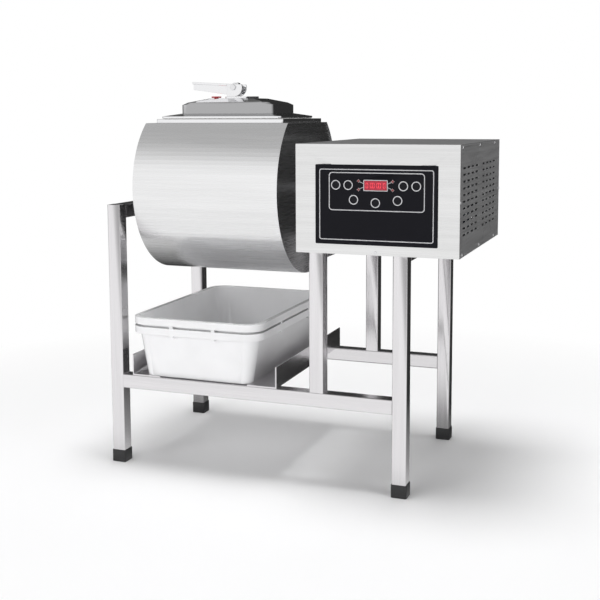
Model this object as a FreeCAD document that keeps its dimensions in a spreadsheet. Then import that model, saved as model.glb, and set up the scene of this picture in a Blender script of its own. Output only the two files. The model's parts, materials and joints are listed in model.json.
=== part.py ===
"""Meat vacuum tumbler.

A steel drum with a flat top and a raised lid turns between a pillow block on the frame's left
rail and one inside the control housing on the right. Two nested tubs slide on angle runners
below it. Frame of the model: +X to the housing, +Y to the back, +Z up, millimetres, with the
origin on the floor below the middle of the machine.
"""

import FreeCAD
import Part

import math
import os

import Sketcher
from FreeCAD import Placement, Rotation, Vector

DIMENSIONS = {
    "Frame": {
        "tube_side": (38, "side of the square frame tube"),
        "tube_wall": (1.5, "wall of the frame tube"),
        "tube_round": (3, "outer corner radius of the frame tube"),
        "frame_depth": (540, "front faces to back faces of the legs"),
        "bay_length": (590, "left legs' outer face to the middle posts"),
        "housing_bay": (260, "middle posts' near face to right legs' outer face"),
        "left_height": (726, "top of the left legs and of the rail under the left bearing"),
        "right_height": (642, "top of the middle posts and right legs"),
        "low_rail_height": (215, "underside of the lower rails"),
        "foot_height": (34, "foot cap"),
        "foot_lip": (2, "how far a foot cap stands out around its tube"),
        "foot_sole": (6, "foot cap below the tube's end"),
        "runner_gauge": (430, "outer face to outer face of the two runners"),
        "runner_shift_x": (4, "middle of the runners from the middle of the drum"),
        "runner_height": (58, "upright flange of a runner"),
        "runner_flange": (85, "flat flange of a runner"),
        "runner_sheet": (3, "runner plate"),
        "runner_setback": (5, "runner end behind the frame's face"),
    },
    "Tubs": {
        "tub_width": (384, "across the rim, along X"),
        "tub_height": (140, "floor underside to rim top"),
        "tub_shift_x": (-15, "middle of the tubs from the middle of the drum"),
        "tub_overhang": (20, "front rim in front of the frame"),
        "tub_wall": (2, "wall and floor of a tub"),
        "tub_draft_x": (23, "lean of each side wall over the height"),
        "tub_draft_y": (15, "lean of the front and back walls over the height"),
        "tub_round": (38, "corner radius at the top"),
        "rim_width": (12, "rim outside the wall"),
        "rim_skirt": (19, "height of the rim"),
        "lug_height": (6, "stacking lug below the rim"),
        "lug_width": (10, "stacking lug along the rim"),
        "lug_depth": (9, "stacking lug across the rim"),
        "lug_spacing_x": (124, "between the two lugs of the front or back"),
        "lug_spacing_y": (220, "between the two lugs of a side"),
        "seat_gap": (0.3, "clearance where a loose piece rests"),
    },
    "Drum": {
        "drum_gap": (26, "left rail to the drum"),
        "drum_length": (427, "shell, end to end"),
        "drum_radius": (241, "outside of the shell"),
        "drum_flat": (182, "flat top above the axis"),
        "drum_sheet": (2, "shell"),
        "end_recess": (3, "end plate behind the shell's edge"),
        "end_sheet": (3, "end plate"),
        "end_flange": (14, "turned edge of the end plate"),
        "mouth_length": (322, "opening in the flat top, along X"),
        "mouth_width": (196, "opening in the flat top, along Y"),
        "mouth_round": (20, "corner radius of the opening"),
        "neck_length": (380, "mouth frame, along X"),
        "neck_width": (312, "mouth frame, along Y"),
        "neck_shift_x": (8, "middle of the mouth frame from the middle of the drum"),
        "neck_height": (11, "mouth frame above the flat top"),
        "neck_round": (6, "corner radius of the mouth frame"),
        "paddle_height": (60, "tumbling paddle"),
        "paddle_base": (32, "foot of a paddle"),
        "paddle_tip": (8, "crest of a paddle"),
        "paddle_count": (3, "paddles around the drum"),
    },
    "Lid": {
        "gasket_sheet": (2, "gasket"),
        "gasket_margin": (2, "gasket inside the brim's edge"),
        "lip_depth": (7, "locating lip of the gasket, down into the mouth"),
        "lip_sheet": (3, "thickness of the locating lip"),
        "lip_gap": (0.5, "locating lip inside the mouth's edge"),
        "brim_length": (362, "lid brim, along X"),
        "brim_width": (256, "lid brim, along Y"),
        "brim_round": (8, "corner radius of the brim"),
        "brim_edge": (5, "upright edge of the brim"),
        "shoulder_height": (13, "top of the brim's slope"),
        "pan_length": (278, "raised pan, along X"),
        "pan_width": (196, "raised pan, along Y"),
        "pan_round": (25, "corner radius of the pan"),
        "pan_wall_height": (37, "top of the pan's upright wall"),
        "bevel_inset": (14, "bevel of the pan's top edge, inwards"),
        "bevel_rise": (7, "bevel of the pan's top edge, upwards"),
        "crown_length": (150, "flat crown of the lid, along X"),
        "crown_width": (90, "flat crown of the lid, along Y"),
        "crown_round": (8, "corner radius of the crown"),
        "crown_rise": (11, "crown above the bevel"),
        "lid_sheet": (1.5, "pressed sheet of the lid"),
    },
    "Lever": {
        "pivot_shift": (-8.5, "pivot from the middle of the lid, along X"),
        "pivot_rise": (26.3, "pivot above the base plate"),
        "base_length": (68, "base plate, along X"),
        "base_width": (44, "base plate, along Y"),
        "base_sheet": (6, "base plate"),
        "base_shift": (10, "middle of the base plate from the pivot"),
        "cheek_gap": (29, "between the base's cheeks"),
        "cheek_sheet": (3, "cheek"),
        "cheek_back": (20, "cheek from the pivot towards the handle"),
        "cheek_top": (8, "cheek above the pivot"),
        "cheek_nose": (25, "radius of the cheek's round end"),
        "handle_length": (131, "tip of the handle from the pivot"),
        "handle_width": (27, "handle across its cheeks"),
        "handle_sheet": (2.5, "handle plate"),
        "handle_nose": (12, "round end of the handle about its pivot"),
        "handle_top": (9, "top of the handle at the pivot"),
        "handle_climb": (7.5, "rise of the handle's top towards its tip"),
        "handle_belly": (20, "underside of the handle below the pivot, at its deepest"),
        "handle_tip_low": (6, "underside of the handle below the pivot, at its tip"),
        "strap_sheet": (6, "strap along the top of the handle"),
        "strap_lip": (1, "how far the strap stands out at each side"),
        "bolt_radius": (4, "pivot bolt"),
        "bolt_head_radius": (8, "head and nut of the pivot bolt"),
        "bolt_head": (5, "height of the head and nut"),
        "eccentric_radius": (7.5, "eccentric of the pivot bolt"),
        "eccentric_throw": (3, "eccentric's centre from the bolt's axis"),
        "eccentric_width": (16, "eccentric, along the bolt"),
        "stem_slack": (0.15, "eccentric in the stem's eye, above and below"),
        "stem_radius": (5, "vent stem"),
        "stem_wall": (3.5, "wall of the stem's eye"),
        "vent_radius": (7, "vent hole in the lid around the stem"),
        "vent_plate_radius": (26, "vent plate below the lid"),
        "vent_plate_sheet": (3, "vent plate"),
        "tap_radius": (14.5, "vacuum tap knob"),
        "tap_height": (5, "vacuum tap knob"),
        "button_radius": (14, "release valve button"),
        "button_height": (4, "release valve button"),
        "button_travel": (2, "release valve button"),
        "valve_spacing": (116, "tap to release valve, along X"),
        "valve_forward": (24, "valves in front of the lid's middle"),
        "spindle_radius": (6, "spindle of the tap and of the button"),
        "spindle_length": (22, "spindle below the lid's crown"),
        "running_fit": (0.05, "radial clearance of a turning or sliding fit"),
    },
    "Drive": {
        "bearing_centre": (40, "pillow block's axis above its seat"),
        "bearing_base": (120, "foot of a pillow block, along Y"),
        "bearing_width": (32, "pillow block along the shaft"),
        "bearing_foot": (13, "thickness of the pillow block's foot"),
        "bearing_hub": (32, "outside radius of the pillow block's ring"),
        "insert_radius": (24, "bearing insert"),
        "fixing_gap": (94, "between a pillow block's two bolts"),
        "fixing_radius": (5, "pillow block bolt"),
        "fixing_head_radius": (8.5, "pillow block bolt head"),
        "fixing_head": (6.5, "pillow block bolt head"),
        "fixing_grip": (10, "pillow block bolt below the foot"),
        "shaft_radius": (15, "drum shafts"),
        "shaft_bore": (5, "suction bore of the drive shaft"),
        "shaft_flange_radius": (50, "flange that holds a shaft to its end plate"),
        "shaft_flange": (8, "thickness of that flange"),
        "pedestal_length": (130, "bearing pedestal, along Y"),
        "pedestal_foot": (20, "foot of the bearing pedestal"),
        "pedestal_sheet": (4, "bearing pedestal plate"),
        "gear_module": (2.5, "module of the gear pair"),
        "gear_teeth": (60, "teeth of the drum gear"),
        "pinion_teeth": (20, "teeth of the pinion"),
        "gear_face": (20, "width of the drum gear"),
        "gear_offset": (20, "drum gear from the right pillow block"),
        "gear_backlash": (0.3, "play between the teeth at the pitch circle"),
        "pinion_radius_shaft": (9, "pinion shaft"),
        "gearbox_gap": (12, "gearbox from the drum gear"),
        "gearbox_length": (60, "gearbox, along X"),
        "gearbox_side": (100, "gearbox across"),
        "motor_radius": (45, "motor"),
        "motor_length": (150, "motor"),
        "union_radius": (24, "rotary union"),
        "union_length": (42, "rotary union"),
        "union_cover": (25, "how far the rotary union covers the shaft"),
        "union_gap": (18, "rotary union from the drum gear"),
        "nipple_radius": (6, "pipe nipples"),
        "nipple_length": (12, "pipe nipples"),
        "pipe_radius": (9, "vacuum pipe"),
        "pipe_bend": (50, "bend radius of the vacuum pipe"),
        "pump_reach_x": (122, "pump head from the drum gear, along X"),
        "pump_reach_y": (100, "pump head's face behind the drum's axis"),
        "pump_head_length": (56, "pump head, along X"),
        "pump_head_depth": (70, "pump head, along Y"),
        "pump_head_rise": (34, "pump head above the drum's axis"),
        "pump_motor_radius": (32, "pump motor"),
        "pump_motor_length": (96, "pump motor"),
        "pump_base": (8, "pump base plate"),
    },
    "Housing": {
        "housing_lead": (34, "housing's left wall before the middle posts"),
        "housing_length": (423, "housing along X"),
        "housing_height": (277, "housing, skirt to top"),
        "housing_skirt": (22, "skirt below the housing floor"),
        "housing_sheet": (1.5, "housing sheet"),
        "housing_flange": (15, "turned edges inside the housing"),
        "shaft_hole": (20, "hole for the drive shaft in the left wall"),
        "vent_length": (34, "ventilation slot"),
        "vent_height": (5, "ventilation slot"),
        "vent_columns": (4, "slots side by side in a group"),
        "vent_rows": (11, "rows of slots"),
        "vent_pitch_y": (51.3, "between columns of slots"),
        "vent_pitch_z": (16.5, "between rows of slots"),
        "vent_front_y": (-218, "first column of the front group"),
        "vent_back_y": (33, "first column of the back group"),
        "vent_low": (54, "lowest row above the skirt's edge"),
        "screw_radius": (2, "panel screw shank"),
        "screw_head_radius": (4, "panel screw head"),
        "screw_head": (2, "panel screw head"),
        "screw_pitch_y": (217, "between the top screws of the vented panel"),
        "screw_shift_y": (-23, "middle top screw from the panel's middle"),
        "screw_inset": (7, "screws from the upper or lower edge"),
        "screw_middle": (137, "side screws above the skirt's edge"),
        "gland_x": (79, "cable gland from the housing's right face"),
        "gland_z": (50, "cable gland above the skirt's edge"),
        "gland_radius": (9, "cable gland's neck"),
        "gland_hex": (14, "cable gland's hexagon, to its corners"),
        "gland_reach": (18.5, "cable gland behind the rear wall"),
        "gland_bore": (5, "cable hole of the gland"),
    },
    "Panel": {
        "overlay_length": (316, "black overlay"),
        "overlay_height": (201, "black overlay"),
        "overlay_round": (3, "corner radius of the overlay"),
        "overlay_sheet": (1, "thickness of the overlay"),
        "overlay_centre": (125.6, "middle of the overlay above the skirt's edge"),
        "key_radius": (11, "key"),
        "key_fit": (0.25, "clearance around a key"),
        "key_proud": (0.8, "key in front of the overlay"),
        "key_travel": (0.6, "travel of a key"),
        "key_collar": (2, "collar that holds a key behind the panel"),
        "key_stem": (3, "stem radius of a key"),
        "key_outer_x": (103.6, "outer keys from the panel's middle"),
        "key_inner_x": (71, "arrow keys from the panel's middle"),
        "key_lower_x": (56.7, "lower keys from the panel's middle"),
        "key_upper_z": (49.4, "upper keys above the overlay's middle"),
        "key_lower_z": (13, "lower side keys above the overlay's middle"),
        "key_middle_z": (6, "lower middle key above the overlay's middle"),
        "display_length": (58, "display window"),
        "display_height": (23.5, "display window"),
        "lamp_radius": (3, "indicator lamp"),
        "lamp_x": (43.8, "lamps from the panel's middle"),
        "lamp_z": (10.7, "lamps above and below the display's middle"),
        "board_gap": (12, "control board behind the front panel"),
        "board_sheet": (1.6, "control board"),
        "board_length": (290, "control board"),
        "board_height": (130, "control board"),
        "post_radius": (4, "stand-offs of the control board"),
        "post_inset": (10, "stand-offs from the board's edges"),
        "switch_side": (8, "key switches on the board"),
    },
}

doc = FreeCAD.newDocument("meat_vacuum_tumbler")


# --------------------------------------------------------------------------- sizes


class Size:
    """A number together with the expression that makes it from the sheet's cells."""

    def __init__(self, value, text):
        self.value = float(value)
        self.text = text

    def __float__(self):
        return self.value

    def __add__(self, other):
        other = size_of(other)
        return Size(self.value + other.value, f"({self.text} + {other.text})")

    def __sub__(self, other):
        other = size_of(other)
        return Size(self.value - other.value, f"({self.text} - {other.text})")

    def __mul__(self, other):
        other = size_of(other)
        return Size(self.value * other.value, f"({self.text} * {other.text})")

    def __truediv__(self, other):
        other = size_of(other)
        return Size(self.value / other.value, f"({self.text} / {other.text})")

    def __radd__(self, other):
        return size_of(other) + self

    def __rsub__(self, other):
        return size_of(other) - self

    def __rmul__(self, other):
        return size_of(other) * self

    def __neg__(self):
        return Size(-self.value, f"(-1 * {self.text})")

    def root(self):
        """The square root."""
        return Size(math.sqrt(self.value), f"sqrt({self.text})")


def size_of(value):
    """Turn a plain number into a Size, and leave a Size as it is."""
    return value if isinstance(value, Size) else Size(value, repr(value))


def write_sheet():
    """Write the driving dimensions to the sheet and return them by name."""
    sheet = doc.addObject("Spreadsheet::Sheet", "Sizes")
    sizes = {}
    row = 1
    for heading, entries in DIMENSIONS.items():
        sheet.set(f"A{row}", heading)
        row += 1
        for name, (value, meaning) in entries.items():
            sheet.set(f"A{row}", name)
            sheet.set(f"B{row}", str(value))
            sheet.set(f"C{row}", meaning)
            sheet.setAlias(f"B{row}", name)
            sizes[name] = Size(value, f"Sizes.{name}")
            row += 1
    doc.recompute()
    return sizes


class Layout:
    """The driving sizes, and the places that follow from them."""

    def __init__(self, sizes):
        self.__dict__.update(sizes)
        self.housing_left = self.bay_length - self.housing_lead
        self.frame_length = self.bay_length + self.housing_bay
        self.tub_depth = self.frame_depth + self.tub_overhang
        self.left = -(self.housing_left + self.housing_length) / 2
        self.front = -self.frame_depth / 2
        self.back = self.frame_depth / 2
        self.low_top = self.low_rail_height + self.tube_side
        self.left_leg = self.left + self.tube_side / 2
        self.right_leg = self.left + self.frame_length - self.tube_side / 2
        self.mid_post = self.left + self.bay_length + self.tube_side / 2
        self.front_leg = self.front + self.tube_side / 2
        self.back_leg = self.back - self.tube_side / 2
        self.axis = self.left_height + self.bearing_centre
        self.drum_left = self.left + self.tube_side + self.drum_gap
        self.drum_mid = self.drum_left + self.drum_length / 2
        self.drum_right = self.drum_left + self.drum_length
        self.neck_top = self.axis + self.drum_flat + self.neck_height
        self.lid_base = self.neck_top + self.seat_gap + self.gasket_sheet
        self.crown_height = self.pan_wall_height + self.bevel_rise + self.crown_rise
        self.lid_top = self.lid_base + self.crown_height
        self.pivot_x = self.drum_mid + self.pivot_shift
        self.pivot_z = self.lid_top + self.base_sheet + self.pivot_rise
        self.eye_x = self.eccentric_throw * (1 + math.sqrt(0.5)) / 2
        self.eye_z = self.eccentric_throw * math.sqrt(0.5)
        self.house_left = self.left + self.housing_left
        self.house_right = self.house_left + self.housing_length
        self.house_mid = self.house_left + self.housing_length / 2
        self.house_bottom = self.right_height - self.housing_skirt
        self.house_floor = self.right_height + self.housing_sheet
        self.gear_x = self.mid_post + self.bearing_width / 2 + self.gear_offset
        self.union_x = self.gear_x + self.gear_face + self.union_gap
        self.pitch_gap = self.gear_module * (self.gear_teeth + self.pinion_teeth) / 2
        self.tub_x = self.drum_mid + self.tub_shift_x
        self.tub_y = self.front - self.tub_overhang + self.tub_depth / 2
        self.tub_z = self.low_top + self.runner_sheet + self.seat_gap
        self.display_z = self.key_upper_z
        self.panel_z = self.house_bottom + self.overlay_centre


# --------------------------------------------------------------------------- modelling helpers


def bind(item, prop, size):
    """Tie a property of a document object to a size."""
    item.setExpression(prop, size_of(size).text)


def place(item, x=0, y=0, z=0, turn=None):
    """Put an object at sizes along X, Y and Z, turned by a fixed rotation."""
    spot = Vector(*(float(size_of(value)) for value in (x, y, z)))
    item.Placement = Placement(spot, turn or Rotation())
    for letter, value in zip("xyz", (x, y, z)):
        bind(item, f"Placement.Base.{letter}", value)
    return item


def new_body(name):
    """Start a PartDesign body."""
    return doc.addObject("PartDesign::Body", name)


def origin_item(body, role):
    """One of the body's own origin planes or axes."""
    return next(item for item in body.Origin.OriginFeatures if item.Role == role)


def new_sketch(body, name, plane="XY_Plane", lift=0):
    """Start a sketch on an origin plane of the body, lifted along the plane's normal."""
    sketch = body.newObject("Sketcher::SketchObject", f"{body.Name}_{name}")
    sketch.AttachmentSupport = [(origin_item(body, plane), "")]
    sketch.MapMode = "FlatFace"
    sketch.AttachmentOffset = Placement(Vector(0, 0, float(size_of(lift))), Rotation())
    bind(sketch, "AttachmentOffset.Base.z", lift)
    return sketch


def dimension(sketch, kind, *where, size):
    """Add a dimension to a sketch and tie it to its size."""
    size = size_of(size)
    index = sketch.addConstraint(Sketcher.Constraint(kind, *where, size.value))
    name = f"{kind}_{index}"
    sketch.renameConstraint(index, name)
    sketch.setExpression(f"Constraints.{name}", size.text)


def locate(sketch, edge, end, x, y):
    """Fix a point of an edge at sizes from the sketch's origin."""
    for kind, axis, size in (("DistanceX", -2, x), ("DistanceY", -1, y)):
        if size_of(size).value == 0 and not isinstance(size, Size):
            sketch.addConstraint(Sketcher.Constraint("PointOnObject", edge, end, axis))
        else:
            dimension(sketch, kind, -1, 1, edge, end, size=size)


def flat(x, y):
    """A point of a sketch."""
    return Vector(float(size_of(x)), float(size_of(y)), 0)


def arc_between(start, end, radius):
    """The short arc from start to end, with its centre on the left, or right if radius < 0."""
    chord = end - start
    reach = math.sqrt(radius ** 2 - (chord.Length / 2) ** 2)
    side = Vector(-chord.y, chord.x, 0).normalize() * math.copysign(reach, radius)
    centre = (start + end) * 0.5 + side
    first, last = (start, end) if radius > 0 else (end, start)
    angles = [math.atan2(point.y - centre.y, point.x - centre.x) for point in (first, last)]
    circle = Part.Circle(centre, Vector(0, 0, 1), abs(radius))
    return Part.ArcOfCircle(circle, angles[0], angles[1])


def outline(sketch, corners):
    """Draw a closed outline.

    Each corner is (x, y), or (x, y, radius) where an arc runs from it to the next corner.
    """
    count = len(corners)
    ends = []
    for index, corner in enumerate(corners):
        following = corners[(index + 1) % count]
        start, end = flat(*corner[:2]), flat(*following[:2])
        if len(corner) == 3:
            radius = size_of(corner[2])
            edge = sketch.addGeometry(arc_between(start, end, radius.value))
            dimension(sketch, "Radius", edge, size=radius if radius.value > 0 else -radius)
            ends.append((edge, 1, 2) if radius.value > 0 else (edge, 2, 1))
        else:
            edge = sketch.addGeometry(Part.LineSegment(start, end))
            ends.append((edge, 1, 2))
    for index, corner in enumerate(corners):
        edge, start, end = ends[index]
        following, next_start, _ = ends[(index + 1) % count]
        sketch.addConstraint(Sketcher.Constraint("Coincident", edge, end, following, next_start))
        locate(sketch, edge, start, *corner[:2])


def rectangle(sketch, x, y, width, depth):
    """Draw a rectangle about a centre."""
    x, y, half_width, half_depth = (size_of(x), size_of(y), size_of(width) / 2, size_of(depth) / 2)
    outline(sketch, [
        (x - half_width, y - half_depth), (x + half_width, y - half_depth),
        (x + half_width, y + half_depth), (x - half_width, y + half_depth),
    ])


def circle(sketch, x, y, radius):
    """Draw a circle about a centre."""
    shape = Part.Circle(flat(x, y), Vector(0, 0, 1), float(size_of(radius)))
    edge = sketch.addGeometry(shape)
    locate(sketch, edge, 3, x, y)
    dimension(sketch, "Radius", edge, size=radius)


def rounded(sketch, width, depth, radius, x=0, y=0):
    """Draw a rectangle with round corners about a centre."""
    width, depth, radius, x, y = map(size_of, (width, depth, radius, x, y))
    in_x, in_y = width / 2 - radius, depth / 2 - radius
    signs = [(1, -1), (1, 1), (-1, 1), (-1, -1)]
    centres = [(x + in_x * sx, y + in_y * sy) for sx, sy in signs]
    arcs = []
    for quarter, centre in enumerate(centres):
        start = (quarter - 1) * math.pi / 2
        shape = Part.Circle(flat(*centre), Vector(0, 0, 1), radius.value)
        arcs.append(sketch.addGeometry(Part.ArcOfCircle(shape, start, start + math.pi / 2)))
    for quarter, arc in enumerate(arcs):
        following = arcs[(quarter + 1) % 4]
        ends = sketch.Geometry[arc].EndPoint, sketch.Geometry[following].StartPoint
        line = sketch.addGeometry(Part.LineSegment(*ends))
        sketch.addConstraint(Sketcher.Constraint("Tangent", arc, 2, line, 1))
        sketch.addConstraint(Sketcher.Constraint("Tangent", line, 2, following, 1))
        locate(sketch, arc, 3, *centres[quarter])
        dimension(sketch, "Radius", arc, size=radius)


def pad(body, sketch, length, reverse=False, middle=False):
    """Pad a sketch along its normal."""
    feature = body.newObject("PartDesign::Pad", f"{sketch.Name}_pad")
    feature.Profile = sketch
    feature.Reversed = reverse
    feature.Midplane = middle
    bind(feature, "Length", length)
    return feature


def pocket(body, sketch, length=None, forward=False):
    """Cut a sketch through the whole body, or to a length against or along its normal."""
    feature = body.newObject("PartDesign::Pocket", f"{sketch.Name}_pocket")
    feature.Profile = sketch
    if length is None:
        feature.Type = "ThroughAll"
        feature.Midplane = not forward
    else:
        bind(feature, "Length", length)
    feature.Reversed = forward
    return feature


def turn_up(body, sketch):
    """Revolve a sketch about its own horizontal axis."""
    feature = body.newObject("PartDesign::Revolution", f"{sketch.Name}_turned")
    feature.Profile = sketch
    feature.ReferenceAxis = (sketch, ["H_Axis"])
    feature.Angle = 360
    return feature


def loft(body, kind, name, sections):
    """Loft straight-sided between round-cornered sections of (width, depth, radius, height)."""
    sketches = []
    for index, (width, depth, radius, height) in enumerate(sections):
        sketch = new_sketch(body, f"{name}_{index}", lift=height)
        rounded(sketch, width, depth, radius)
        sketches.append(sketch)
    feature = body.newObject(f"PartDesign::{kind}", f"{body.Name}_{name}")
    feature.Profile = sketches[0]
    feature.Sections = sketches[1:]
    feature.Ruled = True
    return feature


def grid(body, feature, steps):
    """Repeat a feature along one or two origin axes: (role, pitch, count) for each."""
    doc.recompute()
    pattern = body.newObject("PartDesign::LinearPattern", f"{feature.Name}_grid")
    pattern.Originals = [feature]
    for suffix, (role, pitch, count) in zip(("", "2"), steps):
        setattr(pattern, f"Direction{suffix}", (origin_item(body, role), [""]))
        bind(pattern, f"Length{suffix}", pitch * (count - 1))
        bind(pattern, f"Occurrences{suffix}", count)
    body.Tip = pattern
    return pattern


def group(name, items):
    """Several separate solids that make one node."""
    compound = doc.addObject("Part::Compound", name)
    compound.Links = items
    return compound


def along(letter):
    """The rotation that points a body's own Z along another axis."""
    if letter == "X":
        return Rotation(Vector(0, 1, 0), 90)
    return Rotation(Vector(1, 0, 0), -90)


# --------------------------------------------------------------------------- frame


def tube(name, length, x, y, z, turn=None, closed=False, holes=()):
    """A frame tube from a start point; holes are places along it, drilled in its upper wall."""
    body = new_body(name)
    section = new_sketch(body, "section")
    rounded(section, s.tube_side, s.tube_side, s.tube_round)
    pad(body, section, length)
    inside = new_sketch(body, "inside")
    inner = s.tube_side - s.tube_wall * 2
    rounded(inside, inner, inner, s.tube_round - s.tube_wall)
    pocket(body, inside, length - s.tube_wall if closed else length, forward=True)
    if holes:
        drill = new_sketch(body, "holes", plane="XZ_Plane")
        for place_along in holes:
            circle(drill, 0, place_along, s.fixing_radius)
        pocket(body, drill, forward=True)
    return place(body, x, y, z, turn)


def frame_nodes():
    """Legs, posts and rails of the frame."""
    leg_length = s.left_height - s.foot_sole
    short_leg = s.right_height - s.foot_sole
    rail_length = s.frame_length - s.tube_side * 2
    cross_length = s.frame_depth - s.tube_side * 2
    low_z = s.low_rail_height + s.tube_side / 2
    seat = [cross_length / 2 - s.fixing_gap / 2, cross_length / 2 + s.fixing_gap / 2]
    ends = {"front": s.front_leg, "rear": s.back_leg}
    nodes = []
    for end, y in ends.items():
        nodes.append(tube(f"leg_{end}_left", leg_length, s.left_leg, y, s.foot_sole, closed=True))
        nodes.append(tube(f"leg_{end}_right", short_leg, s.right_leg, y, s.foot_sole, closed=True))
        nodes.append(tube(f"rail_{end}_low", rail_length, s.left + s.tube_side, y, low_z,
                          along("X")))
    posts = [tube(f"mid_post_{end}", s.right_height - s.low_top, s.mid_post, y, s.low_top,
                  closed=True) for end, y in ends.items()]
    nodes.append(group("mid_posts", posts))
    rails = {"left": (s.left_leg, s.left_height, seat),
             "mid": (s.mid_post, s.right_height, ()),
             "right": (s.right_leg, s.right_height, ())}
    for name, (x, top, holes) in rails.items():
        nodes.append(tube(f"rail_{name}_top", cross_length, x, s.front + s.tube_side,
                          top - s.tube_side / 2, along("Y"), holes=holes))
    return nodes


def foot_caps():
    """Four cups that the legs stand in."""
    body = new_body("foot_caps")
    side = s.tube_side + s.foot_lip * 2
    span_x, span_y = s.frame_length - s.tube_side, s.frame_depth - s.tube_side
    base = new_sketch(body, "outside")
    cup = new_sketch(body, "cup", lift=s.foot_sole)
    for x in (0, span_x):
        for y in (0, span_y):
            rounded(base, side, side, s.tube_round + s.foot_lip, x, y)
            rounded(cup, s.tube_side, s.tube_side, s.tube_round, x, y)
    pad(body, base, s.foot_height)
    pocket(body, cup, forward=True)
    return place(body, s.left_leg, s.front_leg, 0)


def runner(name, side):
    """An angle that carries the tubs, with its upright flange outside."""
    body = new_body(name)
    profile = new_sketch(body, "profile", plane="XZ_Plane")
    flange, sheet = s.runner_flange * -side, s.runner_sheet * -side
    outline(profile, [(0, 0), (flange, 0), (flange, s.runner_sheet), (sheet, s.runner_sheet),
                      (sheet, s.runner_height), (0, s.runner_height)])
    pad(body, profile, s.frame_depth - s.runner_setback * 2, reverse=True)
    outer = s.drum_mid + s.runner_shift_x + s.runner_gauge * side / 2
    return place(body, outer, s.front + s.runner_setback, s.low_top)


# --------------------------------------------------------------------------- tubs


def tub(name, z):
    """A nesting tub: leaning walls, a rim with a skirt, and stacking lugs below the rim."""
    body = new_body(name)
    thin = s.tub_wall * 2
    top_x, top_y = s.tub_width - s.rim_width * 2, s.tub_depth - s.rim_width * 2
    low_x, low_y = top_x - s.tub_draft_x * 2, top_y - s.tub_draft_y * 2
    low_round = s.tub_round - s.rim_width
    loft(body, "AdditiveLoft", "outside", [(low_x, low_y, low_round, 0),
                                           (top_x, top_y, s.tub_round, s.tub_height)])
    rim = new_sketch(body, "rim", lift=s.tub_height - s.tub_wall)
    rounded(rim, s.tub_width, s.tub_depth, s.tub_round + s.rim_width)
    pad(body, rim, s.tub_wall)
    loft(body, "SubtractiveLoft", "inside",
         [(low_x - thin, low_y - thin, low_round - s.tub_wall, s.tub_wall),
          (top_x - thin, top_y - thin, s.tub_round - s.tub_wall, s.tub_height)])
    skirt = new_sketch(body, "skirt", lift=s.tub_height - s.rim_skirt)
    rounded(skirt, s.tub_width, s.tub_depth, s.tub_round + s.rim_width)
    rounded(skirt, s.tub_width - thin, s.tub_depth - thin,
            s.tub_round + s.rim_width - s.tub_wall)
    pad(body, skirt, s.rim_skirt - s.tub_wall)
    lugs = new_sketch(body, "lugs", lift=s.tub_height - s.rim_skirt - s.lug_height)
    edge_x = (s.tub_width - s.lug_depth) / 2
    edge_y = (s.tub_depth - s.lug_depth) / 2
    for side in (1, -1):
        for end in (1, -1):
            rectangle(lugs, s.lug_spacing_x * end / 2, edge_y * side, s.lug_width, s.lug_depth)
            rectangle(lugs, edge_x * side, s.lug_spacing_y * end / 2, s.lug_depth, s.lug_width)
    pad(body, lugs, s.lug_height + s.rim_skirt - s.tub_wall)
    return place(body, s.tub_x, s.tub_y, z)


def tub_nodes():
    """The two tubs: the upper one's lugs stand on the lower one's rim."""
    pitch = s.rim_skirt + s.lug_height + s.seat_gap
    return [tub("lower_tub", s.tub_z), tub("upper_tub", s.tub_z + pitch)]


# --------------------------------------------------------------------------- drum


def drum_outline(sketch, inset):
    """A circle with a flat top, moved inwards by an inset. Its origin is the axis."""
    radius, top = s.drum_radius - inset, s.drum_flat - inset
    half = (radius * radius - top * top).root()
    outline(sketch, [(half, top), (-half, top, radius), (0, -radius, radius)])


def drum_shell():
    """The rolled shell with the mouth cut in its flat top."""
    body = new_body("drum_shell")
    section = new_sketch(body, "section", plane="YZ_Plane")
    drum_outline(section, size_of(0.0))
    drum_outline(section, s.drum_sheet)
    pad(body, section, s.drum_length)
    mouth = new_sketch(body, "mouth")
    rounded(mouth, s.mouth_length, s.mouth_width, s.mouth_round, s.drum_length / 2, 0)
    pocket(body, mouth, forward=True)
    return place(body, s.drum_left, 0, s.axis)


def drum_end(name, side):
    """A flat end plate with a turned edge that points into the drum."""
    body = new_body(name)
    plate = new_sketch(body, "plate", plane="YZ_Plane")
    drum_outline(plate, s.drum_sheet)
    circle(plate, 0, 0, s.shaft_radius)
    pad(body, plate, s.end_sheet, reverse=side > 0)
    edge = new_sketch(body, "edge", plane="YZ_Plane")
    drum_outline(edge, s.drum_sheet)
    drum_outline(edge, s.drum_sheet + s.end_sheet)
    pad(body, edge, s.end_sheet + s.end_flange, reverse=side > 0)
    face = s.drum_right - s.end_recess if side > 0 else s.drum_left + s.end_recess
    return place(body, face, 0, s.axis)


def mouth_frame():
    """The frame around the mouth that the lid seats on."""
    body = new_body("mouth_frame")
    ring = new_sketch(body, "ring")
    rounded(ring, s.neck_length, s.neck_width, s.neck_round, s.neck_shift_x, 0)
    rounded(ring, s.mouth_length, s.mouth_width, s.mouth_round)
    pad(body, ring, s.neck_height)
    return place(body, s.drum_mid, 0, s.axis + s.drum_flat)


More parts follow.
